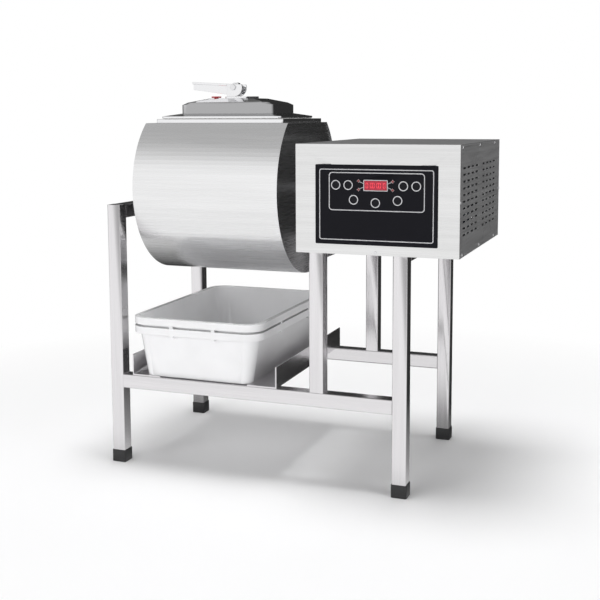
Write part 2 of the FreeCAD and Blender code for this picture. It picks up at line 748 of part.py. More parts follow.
def paddles():
    """Folded sheet ribs along the inside of the shell that lift and drop the meat."""
    body = new_body("drum_paddles")
    inner = s.drum_radius - s.drum_sheet
    foot = (inner * inner - s.paddle_base * s.paddle_base / 4).root()
    base, tip, crest = s.paddle_base / 2, s.paddle_tip / 2, s.paddle_height - foot
    rib = new_sketch(body, "rib", plane="YZ_Plane")
    outline(rib, [(-base, -foot), (s.drum_sheet - base, -foot),
                  (s.drum_sheet - tip, crest - s.drum_sheet), (tip - s.drum_sheet, crest - s.drum_sheet),
                  (base - s.drum_sheet, -foot), (base, -foot), (tip, crest), (-tip, crest)])
    ends = (s.end_recess + s.end_sheet + s.end_flange) * 2
    rib_pad = pad(body, rib, s.drum_length - ends)
    doc.recompute()
    ring = body.newObject("PartDesign::PolarPattern", "paddle_ring")
    ring.Originals = [rib_pad]
    ring.Axis = (origin_item(body, "X_Axis"), [""])
    ring.Angle = 360
    bind(ring, "Occurrences", s.paddle_count)
    body.Tip = ring
    return place(body, s.drum_left + ends / 2, 0, s.axis)


def drum_shaft(name, side, reach, bore=None):
    """A shaft turned with its flange, from the end plate's inner face outwards."""
    body = new_body(name)
    profile = new_sketch(body, "profile", plane="XZ_Plane")
    plate, flange = s.end_sheet * side, (s.end_sheet + s.shaft_flange) * side
    low = bore if bore is not None else 0
    outline(profile, [(0, low), (0, s.shaft_radius), (plate, s.shaft_radius),
                      (plate, s.shaft_flange_radius), (flange, s.shaft_flange_radius),
                      (flange, s.shaft_radius), (reach * side, s.shaft_radius),
                      (reach * side, low)])
    turn_up(body, profile)
    inset = s.end_recess + s.end_sheet
    face = s.drum_right - inset if side > 0 else s.drum_left + inset
    return place(body, face, 0, s.axis)


def drum_nodes():
    """The drum with all that turns with it, apart from its lid."""
    inset = s.end_recess + s.end_sheet
    left_reach = s.drum_gap + s.tube_side / 2 + s.bearing_width / 2 + inset
    right_reach = s.union_x + s.union_cover - s.drum_right + inset
    return [drum_shell(), drum_end("drum_end_left", -1), drum_end("drum_end_right", 1),
            mouth_frame(), paddles(), drum_shaft("stub_shaft", -1, left_reach),
            drum_shaft("drive_shaft", 1, right_reach, s.shaft_bore)]


# --------------------------------------------------------------------------- lid and lever


def lid_sections(inset):
    """Sections of the lid from its brim to its crown, moved inwards by the sheet."""
    crown_z = s.crown_height - inset
    bevel_z = s.pan_wall_height + s.bevel_rise - inset
    bevel_x, bevel_y = s.pan_length - s.bevel_inset * 2, s.pan_width - s.bevel_inset * 2
    shrink = inset * 2
    return [
        (s.pan_length - shrink, s.pan_width - shrink, s.pan_round - inset,
         s.shoulder_height - inset),
        (s.pan_length - shrink, s.pan_width - shrink, s.pan_round - inset,
         s.pan_wall_height - inset / 2),
        (bevel_x - shrink, bevel_y - shrink, s.pan_round - s.bevel_inset / 2 - inset, bevel_z),
        (s.crown_length - shrink, s.crown_width - shrink, s.crown_round - inset, crown_z),
    ]


def lid_pan():
    """The pressed lid, hollow below, with holes for the vent stem and the two valves."""
    body = new_body("lid_pan")
    brim = (s.brim_length, s.brim_width, s.brim_round)
    loft(body, "AdditiveLoft", "outside",
         [(*brim, 0), (*brim, s.brim_edge), *lid_sections(size_of(0.0))])
    mouth = (s.mouth_length + s.gasket_margin * 2, s.mouth_width + s.gasket_margin * 2,
             s.mouth_round)
    loft(body, "SubtractiveLoft", "inside", [(*mouth, 0), *lid_sections(s.lid_sheet)])
    holes = new_sketch(body, "holes")
    circle(holes, s.pivot_shift + s.eye_x, 0, s.vent_radius)
    for side in (1, -1):
        circle(holes, s.valve_spacing * side / 2, -s.valve_forward,
               s.spindle_radius + s.running_fit)
    pocket(body, holes)
    return place(body, s.drum_mid, 0, s.lid_base)


def lid_gasket():
    """The gasket bonded below the lid's brim, with a lip that finds the mouth."""
    body = new_body("lid_gasket")
    margin, lip = s.gasket_margin * 2, (s.lip_gap + s.lip_sheet) * 2
    inner = (s.mouth_length - lip, s.mouth_width - lip, s.mouth_round - lip / 2)
    ring = new_sketch(body, "ring")
    rounded(ring, s.brim_length - margin, s.brim_width - margin, s.brim_round - s.gasket_margin)
    rounded(ring, *inner)
    pad(body, ring, s.gasket_sheet)
    rim = new_sketch(body, "lip", lift=-s.lip_depth)
    rounded(rim, s.mouth_length - s.lip_gap * 2, s.mouth_width - s.lip_gap * 2,
            s.mouth_round - s.lip_gap)
    rounded(rim, *inner)
    pad(body, rim, s.lip_depth)
    return place(body, s.drum_mid, 0, s.lid_base - s.gasket_sheet)


def lever_base():
    """The plate on the lid with two cheeks that carry the pivot bolt."""
    body = new_body("lever_base")
    plate = new_sketch(body, "plate", lift=-s.pivot_rise - s.base_sheet)
    rounded(plate, s.base_length, s.base_width, s.base_sheet, s.base_shift, 0)
    circle(plate, s.eye_x, 0, s.stem_radius + s.stem_slack)
    pad(body, plate, s.base_sheet)
    nose_drop = s.pivot_rise - s.cheek_nose
    rise = s.cheek_top + nose_drop
    reach = s.eye_x + (s.cheek_nose * s.cheek_nose - rise * rise).root()
    for side in (1, -1):
        lift = s.cheek_gap / 2 if side > 0 else -s.cheek_gap / 2 - s.cheek_sheet
        cheek = new_sketch(body, f"cheek_{'front' if side > 0 else 'back'}", "XZ_Plane", lift)
        outline(cheek, [(-s.cheek_back, -s.pivot_rise), (s.eye_x, -s.pivot_rise, s.cheek_nose),
                        (reach, s.cheek_top), (-s.cheek_back, s.cheek_top)])
        circle(cheek, 0, 0, s.bolt_radius + s.running_fit)
        pad(body, cheek, s.cheek_sheet)
    return place(body, s.pivot_x, 0, s.pivot_z)


def handle_top(x):
    """Height of the handle's top edge at a distance from the pivot."""
    return s.handle_top - x * s.handle_climb / s.handle_length


def lever_handle():
    """A channel handle: two leaning-edged cheeks below a strap."""
    body = new_body("lever_handle")
    tip = -s.handle_length + s.strap_lip * 4
    nose_x = (s.handle_nose * s.handle_nose - s.handle_top * s.handle_top).root()
    half = s.handle_width / 2
    for side in (1, -1):
        lift = half - s.handle_sheet if side > 0 else -half
        cheek = new_sketch(body, f"cheek_{'front' if side > 0 else 'back'}", "XZ_Plane", lift)
        outline(cheek, [(tip, -s.handle_tip_low), (-s.cheek_back - s.strap_lip * 3, -s.handle_belly),
                        (0, -s.handle_nose, s.handle_nose), (nose_x, s.handle_top),
                        (0, s.handle_top), (tip, handle_top(tip))])
        circle(cheek, 0, 0, s.bolt_radius)
        pad(body, cheek, s.handle_sheet)
    strap = new_sketch(body, "strap", "XZ_Plane")
    start, end = -s.handle_length, -s.cheek_back - s.strap_lip * 2
    outline(strap, [(start, handle_top(start) - s.strap_sheet),
                    (end, handle_top(end) - s.strap_sheet),
                    (end, handle_top(end)), (start, handle_top(start))])
    pad(body, strap, s.handle_width + s.strap_lip * 2, middle=True)
    return place(body, s.pivot_x, 0, s.pivot_z)


def lever_bolt():
    """The pivot bolt with its eccentric, head and nut."""
    body = new_body("lever_bolt")
    outside = s.cheek_gap / 2 + s.cheek_sheet + s.seat_gap
    shank = new_sketch(body, "shank", "XZ_Plane")
    circle(shank, 0, 0, s.bolt_radius)
    pad(body, shank, outside * 2, middle=True)
    eccentric = new_sketch(body, "eccentric", "XZ_Plane")
    circle(eccentric, s.eye_z, s.eye_z, s.eccentric_radius)
    pad(body, eccentric, s.eccentric_width, middle=True)
    for name, lift in (("head", outside), ("nut", -outside - s.bolt_head)):
        end = new_sketch(body, name, "XZ_Plane", lift)
        circle(end, 0, 0, s.bolt_head_radius)
        pad(body, end, s.bolt_head)
    return place(body, s.pivot_x, 0, s.pivot_z)


def vent_stem():
    """The stem: an eye around the bolt's eccentric, a rod, and the plate that shuts the vent."""
    body = new_body("vent_stem")
    radius = s.eccentric_radius + s.stem_slack
    eye = new_sketch(body, "eye", "XZ_Plane")
    slot_length = radius * 2 + s.eccentric_throw - s.eye_z + s.stem_slack
    rounded(eye, slot_length + s.stem_wall * 2, (radius + s.stem_wall) * 2,
            radius + s.stem_wall / 2, 0, s.eye_z)
    rounded(eye, slot_length, radius * 2, radius - s.stem_slack / 2, 0, s.eye_z)
    pad(body, eye, s.eccentric_width - s.seat_gap * 2, middle=True)
    eye_bottom = s.eye_z - radius - s.stem_wall
    plate_top = -s.pivot_rise - s.base_sheet - s.lid_sheet - s.seat_gap
    rod = new_sketch(body, "rod", lift=plate_top)
    circle(rod, 0, 0, s.stem_radius)
    pad(body, rod, eye_bottom - plate_top + s.stem_wall / 2)
    plate = new_sketch(body, "plate", lift=plate_top - s.vent_plate_sheet)
    circle(plate, 0, 0, s.vent_plate_radius)
    pad(body, plate, s.vent_plate_sheet)
    return place(body, s.pivot_x + s.eye_x, 0, s.pivot_z)


def valve(name, side, radius, height, travel):
    """A knob or button on the lid's crown, with its spindle through the lid."""
    body = new_body(name)
    knob = new_sketch(body, "knob", lift=travel + s.seat_gap)
    circle(knob, 0, 0, radius)
    pad(body, knob, height)
    spindle = new_sketch(body, "spindle", lift=-s.spindle_length)
    circle(spindle, 0, 0, s.spindle_radius)
    pad(body, spindle, s.spindle_length + travel + s.seat_gap)
    return place(body, s.drum_mid + s.valve_spacing * side / 2, -s.valve_forward, s.lid_top)


def lid_nodes():
    """The lid, its gasket, lever, vent stem and valves."""
    return [lid_pan(), lid_gasket(), lever_base(), lever_handle(), lever_bolt(), vent_stem(),
            valve("vacuum_tap", 1, s.tap_radius, s.tap_height, 0),
            valve("release_valve", -1, s.button_radius, s.button_height, s.button_travel)]


# --------------------------------------------------------------------------- bearings and drive


def pillow_block(name, x):
    """A pillow block's casting: a bolted foot and a ring for the insert."""
    body = new_body(name)
    casting = new_sketch(body, "casting", "YZ_Plane")
    foot, hub = s.bearing_base / 2, s.bearing_hub
    step = s.fixing_gap / 2 - s.fixing_head_radius
    outline(casting, [(-foot, 0), (foot, 0), (foot, s.bearing_foot), (step, s.bearing_foot),
                      (hub, s.bearing_centre, hub), (0, s.bearing_centre + hub, hub),
                      (-hub, s.bearing_centre), (-step, s.bearing_foot), (-foot, s.bearing_foot)])
    circle(casting, 0, s.bearing_centre, s.insert_radius)
    pad(body, casting, s.bearing_width, middle=True)
    holes = new_sketch(body, "holes")
    for side in (1, -1):
        circle(holes, 0, s.fixing_gap * side / 2, s.fixing_radius)
    pocket(body, holes)
    return place(body, x, 0, s.left_height)


def bearing_insert(name, x):
    """The steel insert that the shaft turns in."""
    body = new_body(name)
    ring = new_sketch(body, "ring", "YZ_Plane")
    circle(ring, 0, 0, s.insert_radius)
    circle(ring, 0, 0, s.shaft_radius + s.running_fit)
    pad(body, ring, s.bearing_width, middle=True)
    return place(body, x, 0, s.axis)


def block_bolt(name, x, y):
    """A hexagon bolt through a pillow block's foot."""
    body = new_body(name)
    head = new_sketch(body, "head")
    hexagon(head, s.fixing_head_radius)
    pad(body, head, s.fixing_head)
    shank = new_sketch(body, "shank", lift=-s.bearing_foot - s.fixing_grip)
    circle(shank, 0, 0, s.fixing_radius)
    pad(body, shank, s.bearing_foot + s.fixing_grip)
    return place(body, x, y, s.left_height + s.bearing_foot)


def hexagon(sketch, radius):
    """Draw a hexagon about the origin by the radius of its corners."""
    cosine, sine = 0.5, math.sqrt(0.75)
    outline(sketch, [(radius, 0), (radius * cosine, radius * sine), (-radius * cosine, radius * sine),
                     (-radius, 0), (-radius * cosine, -radius * sine), (radius * cosine, -radius * sine)])


def pedestal():
    """A hat-shaped plate stand for the right pillow block, over the middle rail."""
    body = new_body("bearing_pedestal")
    half, foot, sheet = s.pedestal_length / 2, s.pedestal_foot, s.pedestal_sheet
    height = s.left_height - s.house_floor
    profile = new_sketch(body, "profile", "YZ_Plane")
    outline(profile, [(-half - foot, 0), (-half + sheet, 0), (-half + sheet, height - sheet),
                      (half - sheet, height - sheet), (half - sheet, 0), (half + foot, 0),
                      (half + foot, sheet), (half, sheet), (half, height), (-half, height),
                      (-half, sheet), (-half - foot, sheet)])
    pad(body, profile, s.tube_side, middle=True)
    holes = new_sketch(body, "holes", lift=height / 2)
    for side in (1, -1):
        circle(holes, 0, s.fixing_gap * side / 2, s.fixing_radius)
    pocket(body, holes, forward=True)
    return place(body, s.mid_post, 0, s.house_floor)


def tooth_angle(radius, base_radius):
    """Involute angle of a flank at a radius."""
    slope = math.sqrt(max((radius / base_radius) ** 2 - 1, 0))
    return slope - math.atan(slope)


def gear_blank(teeth, width, bore, turn):
    """A spur gear along X about the origin, with involute flanks and play between the teeth."""
    module = s.gear_module.value
    pitch, pressure = module * teeth / 2, math.radians(20)
    tip, root = pitch + module, pitch - 1.25 * module
    base = pitch * math.cos(pressure)
    half_tooth = math.pi / 2 / teeth - s.gear_backlash.value / 4 / pitch
    steps = [root, max(base, root), (max(base, root) + pitch) / 2, pitch, (pitch + tip) / 2, tip]
    flank = [(radius, half_tooth + tooth_angle(pitch, base) - tooth_angle(max(radius, base), base))
             for radius in sorted(set(steps))]
    points = []
    for tooth in range(teeth):
        middle = turn + 2 * math.pi * tooth / teeth
        for radius, angle in flank + [(radius, -angle) for radius, angle in reversed(flank)]:
            points.append((radius, middle - angle))
    corners = [Vector(0, radius * math.cos(angle), radius * math.sin(angle))
               for radius, angle in points]
    face = Part.Face(Part.makePolygon(corners + corners[:1]))
    blank = face.extrude(Vector(width, 0, 0))
    if bore:
        blank = blank.cut(Part.makeCylinder(bore, width, Vector(), Vector(1, 0, 0)))
    return blank


def drum_gear():
    """The gear fixed on the drive shaft."""
    gear = doc.addObject("Part::Feature", "drum_gear")
    gear.Shape = gear_blank(round(s.gear_teeth.value), s.gear_face.value,
                            s.shaft_radius.value, math.pi)
    return place(gear, s.gear_x, 0, s.axis)


def pinion_shaft():
    """The gear motor's output shaft with its pinion, in front of the drum gear."""
    pinion = doc.addObject("Part::Feature", "pinion_shaft")
    teeth = round(s.pinion_teeth.value)
    blank = gear_blank(teeth, s.gear_face.value, 0, math.pi / teeth)
    length = (s.gear_face + s.gearbox_gap + s.gearbox_length / 2).value
    pinion.Shape = blank.fuse(
        Part.makeCylinder(s.pinion_radius_shaft.value, length, Vector(), Vector(1, 0, 0)))
    return place(pinion, s.gear_x, -s.pitch_gap, s.axis)


def gear_motor():
    """Gearbox and motor on a foot bracket on the housing floor."""
    body = new_body("gear_motor")
    gearbox = new_sketch(body, "gearbox", "YZ_Plane")
    rounded(gearbox, s.gearbox_side, s.gearbox_side, s.pinion_radius_shaft)
    circle(gearbox, 0, 0, s.pinion_radius_shaft + s.running_fit)
    pad(body, gearbox, s.gearbox_length)
    motor = new_sketch(body, "motor", "YZ_Plane", lift=s.gearbox_length / 2 + s.gearbox_gap)
    circle(motor, 0, 0, s.motor_radius)
    pad(body, motor, s.gearbox_length / 2 - s.gearbox_gap + s.motor_length)
    foot = new_sketch(body, "foot", lift=s.house_floor - s.axis)
    rectangle(foot, s.gearbox_length / 2, 0, s.gearbox_length, s.gearbox_side * 0.7)
    pad(body, foot, s.axis - s.house_floor - s.gearbox_side / 2 + s.gearbox_gap)
    return place(body, s.gear_x + s.gear_face + s.gearbox_gap, -s.pitch_gap, s.axis)


def rotary_union():
    """The fixed cap that takes the suction from the end of the turning shaft."""
    body = new_body("rotary_union")
    profile = new_sketch(body, "profile", "XZ_Plane")
    fit = s.shaft_radius + s.running_fit
    cover, length = s.union_cover + s.seat_gap, s.union_length
    outline(profile, [(0, fit), (cover, fit), (cover, s.shaft_bore), (length, s.shaft_bore),
                      (length + s.nipple_length, s.shaft_bore),
                      (length + s.nipple_length, s.nipple_radius), (length, s.nipple_radius),
                      (length, s.union_radius), (0, s.union_radius)])
    turn_up(body, profile)
    return place(body, s.union_x, 0, s.axis)


def pipe_ends():
    """The start, corner and end of the pipe's route."""
    start = s.union_x + s.union_length + s.nipple_length / 2
    corner = s.gear_x + s.pump_reach_x + s.pump_head_length / 2
    end = s.pump_reach_y - s.nipple_length / 2
    return start, corner, end


def vacuum_pipe():
    """The bent pipe from the rotary union to the pump, over both nipples."""
    start, corner, end = (size.value for size in pipe_ends())
    bend = s.pipe_bend.value
    middle = Vector(corner - bend * (1 - math.sqrt(0.5)), bend * (1 - math.sqrt(0.5)), 0)
    before, after = Vector(corner - bend, 0, 0), Vector(corner, bend, 0)
    route = Part.Wire([
        Part.LineSegment(Vector(start, 0, 0), before).toShape(),
        Part.Arc(before, middle, after).toShape(),
        Part.LineSegment(after, Vector(corner, end, 0)).toShape(),
    ])
    rings = []
    for radius in (s.pipe_radius.value, s.nipple_radius.value):
        ring = Part.makeCircle(radius, Vector(start, 0, 0), Vector(1, 0, 0))
        rings.append(route.makePipeShell([Part.Wire([ring])], True, False))
    pipe = doc.addObject("Part::Feature", "vacuum_pipe")
    pipe.Shape = rings[0].cut(rings[1])
    return place(pipe, 0, 0, s.axis)


def vacuum_pump():
    """A piston vacuum pump: head, motor and base plate."""
    body = new_body("vacuum_pump")
    floor = s.house_floor - s.axis
    length = s.pump_head_length + s.pump_motor_length
    base = new_sketch(body, "base", lift=floor)
    rectangle(base, length / 2, s.pump_head_depth / 2, length, s.pump_head_depth)
    pad(body, base, s.pump_base)
    head = new_sketch(body, "head", lift=floor)
    rounded(head, s.pump_head_length, s.pump_head_depth, s.pump_base,
            s.pump_head_length / 2, s.pump_head_depth / 2)
    pad(body, head, s.pump_head_rise - floor)
    motor = new_sketch(body, "motor", "YZ_Plane", lift=s.pump_head_length / 2)
    circle(motor, s.pump_head_depth / 2, floor + s.pump_base / 2 + s.pump_motor_radius,
           s.pump_motor_radius)
    pad(body, motor, s.pump_head_length / 2 + s.pump_motor_length)
    nipple = new_sketch(body, "nipple", "XZ_Plane")
    circle(nipple, s.pump_head_length / 2, 0, s.nipple_radius)
    pad(body, nipple, s.nipple_length)
    return place(body, s.gear_x + s.pump_reach_x, s.pump_reach_y, s.axis)


def drive_nodes():
    """Bearings, gears, motor and the vacuum line."""
    seats = {"left": s.left_leg, "right": s.mid_post}
    blocks = [pillow_block(f"pillow_block_{name}", x) for name, x in seats.items()]
    inserts = [bearing_insert(f"insert_{name}", x) for name, x in seats.items()]
    bolts = [block_bolt(f"bolt_{name}_{index}", x, s.fixing_gap * side / 2)
             for name, x in seats.items() for index, side in enumerate((1, -1))]
    return [group("bearing_housings", blocks), group("bearing_inserts", inserts),
            group("bearing_bolts", bolts), pedestal(), drum_gear(), pinion_shaft(),
            gear_motor(), rotary_union(), vacuum_pipe(), vacuum_pump()]


# --------------------------------------------------------------------------- housing


def key_places():
    """Where the seven keys lie, from the middle of the overlay."""
    outer, inner, lower = s.key_outer_x, s.key_inner_x, s.key_lower_x
    return [(-outer, s.key_upper_z), (-inner, s.key_upper_z), (inner, s.key_upper_z),
            (outer, s.key_upper_z), (-lower, s.key_lower_z), (size_of(0.0), s.key_middle_z),
            (lower, s.key_lower_z)]


def lamp_places():
    """Where the four indicator lamps lie, from the middle of the overlay."""
    return [(s.lamp_x * side, s.display_z + s.lamp_z * end)
            for side in (-1, 1) for end in (-1, 1)]


def panel_holes(sketch, z):
    """The holes for keys, lamps and display, about a panel middle at a height."""
    for x, key_z in key_places():
        circle(sketch, x, key_z + z, s.key_radius + s.key_fit)
    for x, lamp_z in lamp_places():
        circle(sketch, x, lamp_z + z, s.lamp_radius)
    rectangle(sketch, 0, s.display_z + z, s.display_length, s.display_height)


def housing_front():
    """The front panel with the holes behind the overlay and its one screw."""
    body = new_body("housing_front")
    plate = new_sketch(body, "plate", "XZ_Plane")
    rectangle(plate, 0, s.housing_height / 2, s.housing_length, s.housing_height)
    panel_holes(plate, s.overlay_centre)
    circle(plate, 0, s.screw_inset, s.screw_radius)
    pad(body, plate, s.housing_sheet)
    return place(body, s.house_mid, s.front, s.house_bottom)


def housing_rear():
    """The rear wall with the hole for the cable gland."""
    body = new_body("housing_rear")
    plate = new_sketch(body, "plate", "XZ_Plane")
    rectangle(plate, 0, s.housing_height / 2, s.housing_length, s.housing_height)
    circle(plate, s.housing_length / 2 - s.gland_x, s.gland_z, s.gland_radius)
    pad(body, plate, s.housing_sheet, reverse=True)
    return place(body, s.house_mid, s.back, s.house_bottom)


def side_screws():
    """Where the screws of the vented panel lie: (y, z) from the panel's lower middle."""
    rows = {s.housing_height - s.screw_inset: (-1, 0, 1), s.screw_inset: (-1, 0, 1)}
    places = [(s.screw_shift_y + s.screw_pitch_y * step, height)
              for height, steps in rows.items() for step in steps]
    edge = s.frame_depth / 2 - s.housing_flange / 2
    return places + [(-edge, s.screw_middle), (edge, s.screw_middle)]


def side_wall(name, side):
    """A side wall with flanges turned in along its front and back edges."""
    body = new_body(name)
    plan = new_sketch(body, "plan")
    sheet, flange = s.housing_sheet * -side, s.housing_flange * -side
    front, back = s.front, s.back
    outline(plan, [(0, front), (flange, front), (flange, front + s.housing_sheet),
                   (sheet, front + s.housing_sheet), (sheet, back - s.housing_sheet),
                   (flange, back - s.housing_sheet), (flange, back), (0, back)])
    pad(body, plan, s.housing_height - s.housing_sheet)
    return place(body, s.house_right if side > 0 else s.house_left, 0, s.house_bottom)


def housing_left():
    """The left wall with the hole for the drive shaft."""
    body = side_wall("housing_left", -1)
    hole = new_sketch(body, "shaft_hole", "YZ_Plane")
    circle(hole, 0, s.axis - s.house_bottom, s.shaft_hole)
    pocket(body, hole)
    return body


def housing_right():
    """The right wall with its two groups of ventilation slots and its screw holes."""
    body = side_wall("housing_right", 1)
    holes = new_sketch(body, "screw_holes", "YZ_Plane")
    for y, z in side_screws():
        circle(holes, y, z, s.screw_radius)
    pocket(body, holes)
    for name, start in (("front", s.vent_front_y), ("back", s.vent_back_y)):
        slot = new_sketch(body, f"slot_{name}", "YZ_Plane")
        rectangle(slot, start, s.vent_low, s.vent_length, s.vent_height)
        first = pocket(body, slot)
        grid(body, first, [("Y_Axis", s.vent_pitch_y, s.vent_columns),
                           ("Z_Axis", s.vent_pitch_z, s.vent_rows)])
    return body


def tray(name, z, depth, flange_up, flange_bottom, flange_height):
    """A level plate with flanges along its left and right edges, inside the side walls."""
    body = new_body(name)
    plate = new_sketch(body, "plate")
    wide = s.housing_length if flange_up else s.housing_length - s.housing_sheet * 2
    rectangle(plate, 0, 0, wide, depth)
    pad(body, plate, s.housing_sheet)
    edges = new_sketch(body, "edges", lift=flange_bottom)
    for side in (1, -1):
        x = (s.housing_length / 2 - s.housing_sheet * 1.5) * side
        rectangle(edges, x, 0, s.housing_sheet, s.frame_depth - s.housing_sheet * 2)
    pad(body, edges, flange_height)
    holes = new_sketch(body, "screw_holes", "YZ_Plane")
    for y, height in side_screws()[:6]:
        circle(holes, y, height + s.house_bottom - z, s.screw_radius)
    pocket(body, holes, forward=True, length=s.housing_length)
    return place(body, s.house_mid, 0, z)


def housing_nodes():
    """The six plates of the housing, their screws and the cable gland."""
    top_z = s.house_bottom + s.housing_height - s.housing_sheet
    top = tray("housing_top", top_z, s.frame_depth, True, -s.housing_flange, s.housing_flange)
    floor = tray("housing_floor", s.right_height, s.frame_depth - s.housing_sheet * 2, False,
                 -s.housing_skirt, s.housing_skirt)
    return [housing_front(), housing_rear(), housing_left(), housing_right(), top, floor,
            panel_screws(), cable_gland()]


def screw(name, length):
    """A pan-head screw that points along its own -Z, with its head above the origin."""
    body = new_body(name)
    head = new_sketch(body, "head")
    circle(head, 0, 0, s.screw_head_radius)
    pad(body, head, s.screw_head)
    shank = new_sketch(body, "shank", lift=-length)
    circle(shank, 0, 0, s.screw_radius)
    pad(body, shank, length)
    return body


def panel_screws():
    """The screws of the vented panel and the one below the overlay."""
    length = s.housing_sheet * 2
    screws = [place(screw(f"side_screw_{index}", length), s.house_right, y, s.house_bottom + z,
                    along("X"))
              for index, (y, z) in enumerate(side_screws())]
    front = place(screw("front_screw", length), s.house_mid, s.front - s.housing_sheet,
                  s.house_bottom + s.screw_inset, Rotation(Vector(1, 0, 0), 90))
    return group("panel_screws", screws + [front])


def cable_gland():
    """The inlet of the mains cable, in the rear wall."""
    body = new_body("cable_gland")
    neck = new_sketch(body, "neck", "XZ_Plane")
    circle(neck, 0, 0, s.gland_radius)
    circle(neck, 0, 0, s.gland_bore)
    pad(body, neck, s.housing_sheet + s.gland_reach, reverse=True)
    for name, lift in (("nut", 0), ("collar", -s.housing_sheet - s.gland_radius)):
        ring = new_sketch(body, name, "XZ_Plane", lift)
        hexagon(ring, s.gland_hex)
        circle(ring, 0, 0, s.gland_bore)
        pad(body, ring, s.gland_radius)
    return place(body, s.house_right - s.gland_x, s.back, s.house_bottom + s.gland_z)


# --------------------------------------------------------------------------- control panel


def control_overlay():
    """The black overlay on the front panel."""
    body = new_body("control_overlay")
    face = new_sketch(body, "face", "XZ_Plane")
    rounded(face, s.overlay_length, s.overlay_height, s.overlay_round)
    panel_holes(face, size_of(0.0))
    pad(body, face, s.overlay_sheet)
    return place(body, s.house_mid, s.front - s.housing_sheet, s.panel_z)


def panel_key(name, x, z):
    """A key: its cap through the panel, a collar behind the panel and a stem to its switch."""
    body = new_body(name)
    cap = new_sketch(body, "cap", "XZ_Plane", lift=-s.seat_gap)
    circle(cap, 0, 0, s.key_radius)
    pad(body, cap, s.seat_gap + s.housing_sheet + s.overlay_sheet + s.key_proud)
    collar = new_sketch(body, "collar", "XZ_Plane", lift=-s.seat_gap - s.key_collar)
    circle(collar, 0, 0, s.key_radius + s.key_collar)
    pad(body, collar, s.key_collar)
    reach = s.board_gap - s.key_collar - s.key_travel - s.seat_gap
    stem = new_sketch(body, "stem", "XZ_Plane", lift=-reach)
    circle(stem, 0, 0, s.key_stem)
    pad(body, stem, reach - s.seat_gap)
    return place(body, s.house_mid + x, s.front, s.panel_z + z)


def indicator_lamps():
    """Four lamps from the board through the panel."""
    body = new_body("indicator_lamps")
    lamps = new_sketch(body, "lamps", "XZ_Plane", lift=-s.board_gap)
    for x, z in lamp_places():
        circle(lamps, x, z, s.lamp_radius)
    pad(body, lamps, s.board_gap + s.housing_sheet + s.overlay_sheet + s.key_proud)
    return place(body, s.house_mid, s.front, s.panel_z)


def display_window():
    """The display behind its red window."""
    body = new_body("display_window")
    window = new_sketch(body, "window", "XZ_Plane", lift=-s.board_gap)
    rectangle(window, 0, 0, s.display_length, s.display_height)
    pad(body, window, s.board_gap + s.housing_sheet + s.overlay_sheet)
    return place(body, s.house_mid, s.front, s.panel_z + s.display_z)


def control_board():
    """The board behind the panel: stand-offs, and a switch behind each key."""
    body = new_body("control_board")
    board = new_sketch(body, "board", "XZ_Plane", lift=-s.board_gap - s.board_sheet)
    rectangle(board, 0, 0, s.board_length, s.board_height)
    pad(body, board, s.board_sheet)
    posts = new_sketch(body, "posts", "XZ_Plane", lift=-s.board_gap)
    for side in (1, -1):
        for end in (1, -1):
            circle(posts, (s.board_length / 2 - s.post_inset) * side,
                   (s.board_height / 2 - s.post_inset) * end, s.post_radius)
    pad(body, posts, s.board_gap)
    switches = new_sketch(body, "switches", "XZ_Plane", lift=-s.board_gap)
    middle = s.key_upper_z / 2
    for x, z in key_places():
        rectangle(switches, x, z - middle, s.switch_side, s.switch_side)
    pad(body, switches, s.key_collar)
    return place(body, s.house_mid, s.front, s.panel_z + middle)


def panel_nodes():
    """Overlay, display, lamps, keys and board."""
    keys = [panel_key(f"key_{index + 1}", x, z) for index, (x, z) in enumerate(key_places())]
    return [control_overlay(), display_window(), indicator_lamps(), control_board(), *keys]


# --------------------------------------------------------------------------- build and export


def export(nodes):
    """Check every object and write each node's STEP file."""
    doc.recompute()
    for item in doc.Objects:
        if {"Invalid", "Error"} & set(item.State):
            raise RuntimeError(f"{item.Label} is {item.State}")
    os.makedirs("parts", exist_ok=True)
    for node in nodes:
        shape = node.Shape
        if shape.isNull() or not shape.isValid() or not shape.Solids:
            raise RuntimeError(f"{node.Label} has no valid solid")
        shape.exportStep(f"parts/{node.Label}.step")
    print(f"{len(nodes)} nodes")


s = Layout(write_sheet())
runners = [runner("runner_left", -1), runner("runner_right", 1)]
export([*frame_nodes(), foot_caps(), *runners, *tub_nodes(), *drum_nodes(), *lid_nodes(),
        *drive_nodes(), *housing_nodes(), *panel_nodes()])
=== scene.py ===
"""Looks of the vacuum meat tumbler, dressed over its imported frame.

Every sub-assembly is a class that holds its sizes and dresses its own pieces.
Lengths are metres in the row frame: +X from drum to housing, +Y front to back, +Z up.
"""

from __future__ import annotations

import json
import logging
import math
from dataclasses import dataclass
from enum import Enum

import bmesh
import bpy
from mathutils import Matrix, Vector

